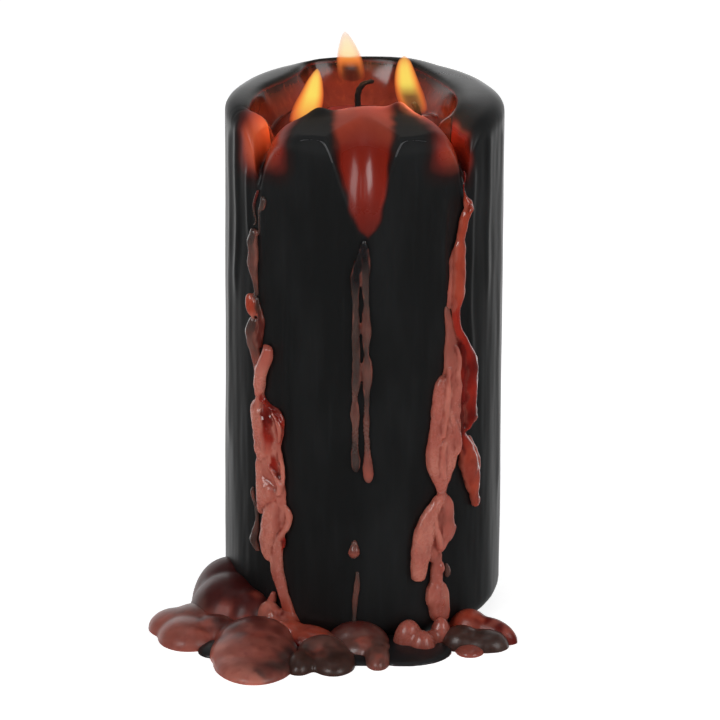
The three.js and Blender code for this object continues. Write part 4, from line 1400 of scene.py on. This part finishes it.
RED_RUN = (
    Strand(((41.2, 119, 1.4), (42, 110, 2.6), (42.4, 100, 3.4), (42.4, 90, 3.4), (42.4, 80, 3),
        (43.6, 71, 2.6)), 0.5, 0, "DDRDMD", (1, 1, 0.9)),
    Strand(((43.1, 176.8, 0.5), (43.7, 173.7, 0.5), (43.1, 170.5, 0.5), (43.8, 167, 0.6), (45.1, 164.6, 1.8),
        (45.4, 161.9, 2), (44.2, 159.9, 1.9), (43.1, 157.5, 1.8), (42.2, 153.9, 1.9), (41.4, 151.1, 1.9),
        (40.9, 148.6, 2.4), (40.7, 145.3, 2.3), (40.6, 140.8, 2.4), (40.6, 136.3, 2.5), (40.5, 131.8, 2.5),
        (40.1, 128, 2.1), (39.5, 124.7, 1.8), (39.5, 121.3, 1.6), (40.6, 117.7, 1.7), (42.8, 113.8, 1.9),
        (44.9, 110.3, 2.2), (46.5, 106.2, 2.8), (47, 102.3, 3.1), (47.1, 97.7, 3.1), (47, 93.2, 3),
        (47.1, 88.5, 2.7), (47.9, 84.5, 2.5), (47.2, 80.8, 2), (45.2, 77.8, 1.8)),
        0.85, 1.2, "DDCCCCCCRRRDRDR", (1, 1, 1, 0.9, 1, 0.8, 0.8, 1, 1, 1, 1)),
    Strand(((44.2, 164.2, 0.5), (44.5, 162.3, 0.9), (43.1, 161.2, 0.8)), 1, 3.8, "CCC", (1, 1)),
    Strand(((39.1, 148.2, 0.5), (38, 144.6, 0.9), (37.7, 140.2, 0.9), (37.6, 134.9, 0.9), (37, 129.8, 0.9),
        (36.4, 125.3, 0.8)), 0.8, 0.2, "QQPQ", (0.6, 0.4)),
    Strand(((47.6, 108.7, 0.8), (49.2, 104.9, 1.3), (49.7, 98.5, 1.5), (49.2, 92.4, 1.4), (49.4, 87.7, 1.1)),
        1, 1.6, "QPQQP", (0.9, 0.8)),
    Strand(((42.5, 111, 0.6), (42.9, 106.4, 0.8), (43, 101.1, 0.8), (42.6, 95, 0.8), (43, 89.6, 0.7)),
        0.9, 2.2, "DDD", (1, 1)),
    Strand(((48.9, 85.1, 0.9), (49.5, 82.3, 1.3), (48.1, 80.3, 1.1)), 1, 2, "PQP", (0.8, 0.8)),
    Strand(((44.2, 80.5, 1.2), (43.5, 77.7, 1.8), (44.6, 74, 2.6), (46, 69.5, 3.5), (47.3, 64.6, 4),
        (48.7, 60, 3.7), (50, 55.7, 2.9), (51.5, 52.2, 2.3), (52.4, 49.3, 2.2), (52.7, 46.8, 1.7)),
        0.8, 0.6, "DRCTCTC", (1, 1, 0.8, 0.8)),
    Strand(((47, 75.8, 0.8), (48.6, 71.9, 1.5), (50.6, 67.2, 2), (51.6, 62.8, 2.1), (50.8, 59.3, 1.8),
        (50.2, 56.1, 1)), 0.9, 1, "QPQRP", (0.6, 0.6, 0.8)),
)
CENTRE_RUN = (
    Strand(((0.2, 155, 0.8), (-2, 147, 1.5), (-3.4, 140, 1.6), (-3.3, 130, 1.2), (-3.2, 121, 1.4),
        (-2.9, 102, 1.6), (-3.3, 95, 1), (-3.3, 90, 1.7), (-3.2, 83, 1), (-3.1, 77, 1.3), (-2.9, 71, 1.7),
        (-2.8, 67, 0.8)),
        0.95, 0, "NNNKKKBBBKKN", (0.4, 0.4, 0.4, 0.4, 0.3, 0.3, 0.2, 0.4, 0.2, 0.2, 0.4, 0.3)),
    Strand(((0.2, 155, 0.8), (0.8, 147, 1.5), (0.6, 140, 1.4), (1, 131, 1.1), (1.2, 122, 1.8),
        (1.2, 113, 1.1), (1.6, 105, 1.8), (1.4, 95, 1), (1.3, 87, 1.1), (1.6, 76, 1.1), (2.2, 67, 1.9),
        (2.2, 63, 0.9)),
        0.95, 0, "NNKKBKBKBBQB", (0.4, 0.4, 0.4, 0.4, 0.5, 0.3, 0.5, 0.3, 0.2, 0.2, 0.4, 0.4)),
)
TEAR = (
    Strand(((-3.3, 41, 0.6), (-3.3, 38.5, 1.5), (-3.3, 36, 2.1), (-3.3, 34, 1)),
        0.95, 0, "BBQB", (0.3, 0.3, 0.4, 0.3)),
)
THREAD = (
    Strand(((-2, 29, 0.5), (-2.2, 24, 1.1), (-3, 18, 1.1), (-3.2, 12, 0.9), (-3.2, 7, 1)),
        0.95, 0, "KBBKK", (0.3, 0.3, 0.3, 0.3, 0.3)),
)
RUNS = (
    ("run_left", "left_run", "pink_wax", LEFT_RUN),
    ("run_left_side", "left_side_run", "brown_wax", LEFT_SIDE_RUN),
    ("run_right", "right_run", "pink_wax", RIGHT_RUN), ("run_red", "red_run", "red_wax", RED_RUN),
    ("run_centre", "centre_run", "brown_wax", CENTRE_RUN), ("tear", "centre_tear", "pink_wax", TEAR),
    ("thread", "centre_thread", "pink_wax", THREAD),
)
CREASES = (
    Strand(((-27, 189.4, 0.3), (-24.6, 190.2, 0.42), (-21, 190.6, 0.45), (-17.4, 190.2, 0.45),
        (-15.6, 188.2, 0.42), (-14.2, 185.6, 0.36), (-13, 182.6, 0.3)), 0.9, -0.1, "NNN", (1, 1)),
    Strand(((26, 189.6, 0.3), (23.2, 190.2, 0.42), (18.8, 190.8, 0.45), (15.6, 190.2, 0.45),
        (13.8, 187.8, 0.42), (12.6, 185, 0.34)), 0.9, -0.1, "NNN", (1, 1)),
)
PUDDLES = (
    ("black_puddle", ("black_puddle",), "black_wax", 14, (
        Dome(0, -51, 21, 18.5, 3, 0, "N", 0.2),
        Dome(14, -53, 19, 16.6, 3, -14, "N", 0.2),
        Dome(-14, -56, 17, 15, 3, 25, "N", 0.2),
        Dome(-34, -53, 17, 15, 3, 30, "N", 0.2),
        Dome(-50.5, -52, 8, 12, 3, -25, "N", 0.2),
    ), ()),
    ("left_pile", ("left_puddle", "front_puddle",), "pink_wax", 22, (
        Dome(-67, -34, 10.6, 11.6, 6.6, 0, "Q", 0.2),
        Dome(-62.5, -44, 11.4, 13.2, 7.4, 0, "Q", 0.2),
        Dome(-59, -34, 13, 13, 8.6, 0, "B", 0.3),
        Dome(-52, -42, 11, 10, 8.4, 0, "M", 0.6),
        Dome(-38, -52, 15, 14, 11, 0, "M", 0.3),
        Dome(-38.5, -60, 16.4, 19, 9, 0, "Q", 0.2),
        Dome(-38.5, -67, 15, 21, 6.2, 0, "Q", 0.2),
    ), (
        (-62, -51, 6, 5, "P", 0.2),
        (-66, -50, 4, 4, "P", 0.2),
        (-71, -38, 5, 5, "P", 0.2),
        (-58, -40, 8, 5, "Q", 0.5),
        (-56, -47, 7, 5, "P", 0.3),
        (-57, -53, 4.6, 5, "P", 0.3),
        (-48, -44, 8.5, 4, "B", 0.9),
        (-36, -54, 10.8, 7, "M", 0.3),
        (-30, -60, 9.5, 5, "Q", 0.3),
        (-43, -57, 10, 5, "M", 0.3),
        (-38, -62, 9, 5, "T", 0.2),
        (-50, -64, 5, 6, "S", 0.2),
        (-48, -74, 5, 6, "S", 0.2),
        (-44, -82, 4, 6, "S", 0.2),
        (-38, -87, 2, 5, "S", 0.2),
        (-26, -82, 3, 3.4, "P", 0.3),
        (-38, -74, 7, 4, "P", 0.2),
        (-23.6, -61, 3, 5.4, "N", 0.3),
        (-25.7, -66, 3.6, 5.6, "N", 0.3),
        (-27.8, -71.6, 4.3, 5.8, "K", 0.3),
        (-29, -74.6, 4.6, 5.6, "N", 0.3),
        (-30.4, -77.4, 4.6, 5.4, "K", 0.3),
        (-33, -81.6, 4, 5, "N", 0.4),
        (-35.6, -84, 2.9, 4.6, "K", 0.3),
    )),
    ("wine_puddle", ("wine_puddle",), "wine_wax", 40, (
        Dome(-48, -13, 14.4, 18, 18.6, 0, "W", 0.3),
        Dome(-47.4, -26, 16, 18, 17.4, -6, "W", 0.5),
        Dome(-41, -35, 11.4, 12, 15.6, 0, "W", 0.6),
    ), (
        (-50, -40, 8, 6, "T", 0.5),
        (-58, -34, 6, 6, "B", 0.4),
        (-62, -26, 4, 5, "B", 0.4),
        (-43, -45, 7, 5, "T", 0.5),
        (-56, -38, 5, 4, "T", 0.4),
        (-60, -18, 7, 4, "M", 0.5),
        (-38, -36, 14, 5, "T", 0.6),
    )),
    ("left_foot", ("left_foot",), "pink_wax", 7, (
        Dome(-33.5, -41.5, 6.4, 6.6, 14, 35, "S", 1),
        Dome(-31, -46.5, 7.4, 6, 9.4, 20, "P", 1),
        Dome(-27, -43, 6, 6, 12, 0, "P", 0.6),
        Dome(-33, -46, 3, 2.6, 12, 10, "S", 1),
        Dome(-29, -49, 3, 2.4, 9.4, -20, "S", 1),
        Dome(-19, -51, 13.6, 7.4, 8, -27, "C", 0.4),
        Dome(-25, -48, 8, 6, 8.8, -30, "C", 0.4),
    ), (
        (-20, -52, 8, 5, "T", 0.5),
        (-10, -55, 5, 4, "B", 0.4),
        (-26, -54, 2.5, 2.5, "D", 1),
        (-24, -56, 3, 2.5, "D", 1),
        (-29, -46, 11.5, 2, "D", 1),
    )),
    ("brown_puddle", ("brown_puddle",), "brown_wax", 20, (
        Dome(-21.8, -70, 5.4, 9, 5.6, -8, "U", 0.4),
        Dome(-10.6, -66.5, 8.6, 13, 5.8, 4, "U", 0.4),
        Dome(-14, -60, 9.8, 8, 7.8, -12, "B", 0.3),
    ), (
        (-21, -64, 5.4, 4, "K", 0.4),
        (-14, -58, 7.6, 4, "B", 0.3),
        (-16, -67, 6.4, 5, "Q", 0.3),
        (-10, -66, 6.6, 4, "B", 0.3),
        (-8, -60, 6, 3, "B", 0.5),
    )),
    ("centre_puddle", ("centre_puddle",), "brown_wax", 20, (
        Dome(-1.4, -51.2, 12, 8, 10, -4, "M", 0.3),
        Dome(1, -57, 10.4, 7.4, 6.6, 0, "B", 0.6),
        Dome(5.6, -64, 4.8, 10, 5.6, 0, "B", 0.4),
    ), (
        (-3, -50, 10, 5, "M", 0.3),
        (6, -54, 9, 4, "B", 0.4),
        (5.6, -70, 3.6, 3.4, "Q", 0.4),
        (-6, -55, 7.4, 3, "B", 0.8),
        (0.6, -60, 6.6, 4.6, "P", 0.5),
    )),
    ("right_puddle", ("right_puddle",), "brown_wax", 20, (
        Dome(36, -48.6, 8, 7.4, 7.4, -10, "U", 0.5),
        Dome(43.5, -49.6, 9.8, 7.2, 6.2, -5, "U", 0.5),
        Dome(47, -49.5, 6, 7, 5.6, 0, "K", 0.4),
    ), (
        (40, -46, 7, 4, "B", 0.5),
        (48, -47, 5.5, 3.4, "B", 0.5),
    )),
    ("pink_puddle", ("pink_puddle",), "pink_wax", 10, (
        Dome(38.8, -55, 5.4, 6.4, 2.9, 0, "Q", 0.3),
    ), ()),
    ("red_puddle", ("red_puddle",), "red_wax", 24, (
        Dome(39, -39, 8.6, 7, 10, -20, "C", 0.8),
        Dome(46, -42, 11.4, 5.6, 8, -28, "D", 0.9),
    ), (
        (42, -41, 9.5, 3.4, "P", 0.8),
        # partly pale salmon wax, partly a painted highlight on the front lower slope
        (39, -45, 5, 3, "S", 0.8),
        (53, -45, 4, 3.4, "P", 0.6),
        (46, -45, 6, 3, "Q", 0.6),
        (49, -43, 6, 3, "P", 0.7),
    )),
    ("curl", ("curl",), "pink_wax", 10, (
        Dome(16.8, -51.4, 6, 5.4, 10.8, 20, "P", 0.2),
        Dome(21.6, -54.6, 5.2, 5, 8, -20, "P", 0.2),
        Dome(28.4, -46.4, 4.2, 4.8, 10, 0, "P", 0.3),
        Dome(24.6, -50.5, 3.4, 3.6, 6.4, 0, "Q", 0.4),
    ), (
        (25, -50, 8, 2.2, "D", 0.8),
        (26.5, -48.5, 9, 1.8, "D", 0.8),
    )),
)


# ---------------------------------------------------------------- studio
@dataclass(frozen=True)
class Studio:
    """A pale floor, soft lights and a long lens.

    distance and aim are in millimetres, elevation and roll in degrees. boxes holds each soft box's name,
    place and target in metres, its width and height, and its power. backdrop holds how bright the world
    is, from its front to its back. flame_power and flame_colour are those of the light in each flame.
    """

    distance: float = 2560.0
    elevation: float = 20.05
    roll: float = 0.31
    aim: tuple[float, float, float] = (-1.23, 0.0, 91.3)
    lens: float = 353.2
    boxes: tuple[tuple, ...] = (
        ("key", (-0.9, -1.0, 1.1), (0, 0, 0.1), (0.7, 0.7), 9.0),
        ("fill", (1.1, -0.9, 0.9), (0, 0, 0.1), (0.8, 0.8), 7.2),
        ("left strip", (-0.29, -1.4, 1.0), (0, 0, 0.18), (0.2, 0.6), 0.54),
        ("right strip", (0.29, -1.4, 1.0), (0, 0, 0.18), (0.2, 0.6), 0.54),
        ("top", (0.0, 0.3, 1.6), (0, 0, 0), (1.2, 1.2), 2.2),
    )
    backdrop: tuple[tuple[float, float], ...] = (
        (0.28, 0.05), (0.7, 0.13), (0.8, 0.26), (0.9, 0.75), (0.97, 1.3))
    flame_power: float = 0.03
    flame_colour: tuple[float, float, float] = (1.0, 0.55, 0.22)

    def build(self) -> None:
        """Make the camera, the floor, the lights and the world."""
        self._camera()
        self._floor()
        self._lights()
        self._world()

    def _camera(self) -> None:
        """Place the camera."""
        data = bpy.data.cameras.new("camera")
        data.lens = self.lens
        data.sensor_width = 36.0
        data.clip_end = 20.0
        camera = linked("camera", data)
        angle = math.radians(self.elevation)
        away = Vector((0.0, -math.cos(angle), math.sin(angle)))
        facing = (-away).to_track_quat("-Z", "Y").to_matrix().to_4x4()
        rolled = facing @ Matrix.Rotation(math.radians(self.roll), 4, "Z")
        camera.matrix_world = Matrix.Translation((Vector(self.aim) + away * self.distance) * MM) @ rolled
        bpy.context.scene.camera = camera

    def _floor(self) -> None:
        """Lay a plain pale floor."""
        bm = bmesh.new()
        bmesh.ops.create_grid(bm, x_segments=1, y_segments=1, size=6.0)
        floor = linked("floor", mesh_of(bm, "floor"))
        floor.data.materials.append(Graph("floor").shade(
            Base_Color=(0.85, 0.85, 0.85), Roughness=1.0, Specular_IOR_Level=0.0,
            Emission_Color=(1.0, 1.0, 1.0), Emission_Strength=0.74))
        floor.visible_glossy = False

    def _lights(self) -> None:
        """Hang the soft boxes, and a small warm light in each flame."""
        for name, place, target, size, power in self.boxes:
            data = bpy.data.lights.new(name, "AREA")
            data.shape = "RECTANGLE"
            data.size, data.size_y = size
            data.energy = power
            facing = (Vector(target) - Vector(place)).to_track_quat("-Z", "Y").to_matrix().to_4x4()
            linked(name, data).matrix_world = Matrix.Translation(place) @ facing
        for burner in BURNERS:
            data = bpy.data.lights.new(f"flame_light_{burner.name}", "POINT")
            data.energy = self.flame_power
            data.color = self.flame_colour
            data.shadow_soft_size = 4.0 * MM
            lamp = linked(data.name, data)
            level, middle, _ = burner.flame[2]
            lamp.location = Vector((middle, burner.y, level)) * MM
            lamp.visible_glossy = False

    def _world(self) -> None:
        """Make a world that looks white but lights from behind and beside more than from the front."""
        world = bpy.data.worlds.new("studio")
        bpy.context.scene.world = world
        nodes = Nodes(world, "ShaderNodeOutputWorld")
        outward = nodes.node("ShaderNodeTexCoord", {}, {}, "Generated")
        unsigned = nodes.node("ShaderNodeVectorMath", {"operation": "ABSOLUTE"}, {0: outward})
        backward, upright = (
            nodes.node("ShaderNodeVectorMath", {"operation": "DOT_PRODUCT"}, {0: way, 1: axis}, "Value")
            for way, axis in ((outward, (-0.04, 1.0, 0.0)), (unsigned, (0.0, 0.0, -0.75))))
        levels = tuple((place, (level,) * 3) for place, level in self.backdrop)
        lighting, seen = (
            nodes.node("ShaderNodeBackground", {}, {"Color": colour})
            for colour in (
                nodes.ramp(levels, (backward + upright + 0.26).ranged(-1.0, 1.0)), (1.0, 1.0, 1.0)))
        looking = nodes.node("ShaderNodeLightPath", {}, {}, "Is Camera Ray")
        mixed = nodes.node("ShaderNodeMixShader", {}, {0: looking, 1: lighting, 2: seen})
        nodes.tree.links.new(mixed.socket, nodes.surface)
        bpy.context.scene.view_settings.view_transform = "Standard"


def main() -> None:
    """Build every piece in order."""
    logging.basicConfig(level=logging.INFO, format="%(message)s")
    Studio().build()
    Pillar().build(BodyWax().material("pillar_wax"))
    run_wax = RunWax().material("run_wax")
    wet_wax = RunWax(roughness=0.24, wet_roughness=0.11, translucency=0.12).material("wet_wax")
    satin_wax = RunWax(
        roughness=0.54, wet_roughness=0.30, translucency=0.10, relief=0.1, coat=0.12, shine=0.28
    ).material("satin_wax")
    set_wax = RunWax(roughness=0.46, wet_roughness=0.24, relief=0.18, coat=0.3).material("set_wax")
    for seed, (name, node, slot, strands) in enumerate(RUNS, start=11):
        WallRun(name, (node,), slot, seed, strands).build(wet_wax if slot == "red_wax" else run_wax)
    # painted highlight: a pale grey finish for the creases' bright lines
    painted_crease_shine = PlainFinish(
        (0.080, 0.080, 0.084), 0.34, coat=0.5, grain=1.5, relief=0.02
    ).material("painted_crease_highlight")
    Crease("creases", (BODY_NODE,), "black_wax", 18, CREASES).build(painted_crease_shine)
    for seed, (name, nodes, slot, passes, domes, stains) in enumerate(PUDDLES, start=30):
        finish = satin_wax if slot in ("red_wax", "wine_wax") else run_wax if passes < 14 else set_wax
        Puddle(f"set_{name}", nodes, slot, seed, passes, domes, stains).build(finish)
    build_pool(PlainFinish((0.20, 0.012, 0.006), 0.06, coat=0.6, grain=9.0, relief=0.05).material("molten"))
    charred = PlainFinish((0.006, 0.004, 0.0035), 0.9, grain=0.8, relief=0.3).material("charred")
    for burner in BURNERS:
        burner.build_flame(FIRES[burner.name])
    for burner in BURNERS:
        burner.build_wick(charred)
    tin = PlainFinish((0.55, 0.55, 0.54), 0.35, metallic=1.0, grain=1.5, relief=0.03).material("tin")
    for burner in BURNERS:
        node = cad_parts[f"wick_foot_{burner.name}"]
        node.data.materials.clear()
        node.data.materials.append(tin)


if __name__ == "__main__":
    main()
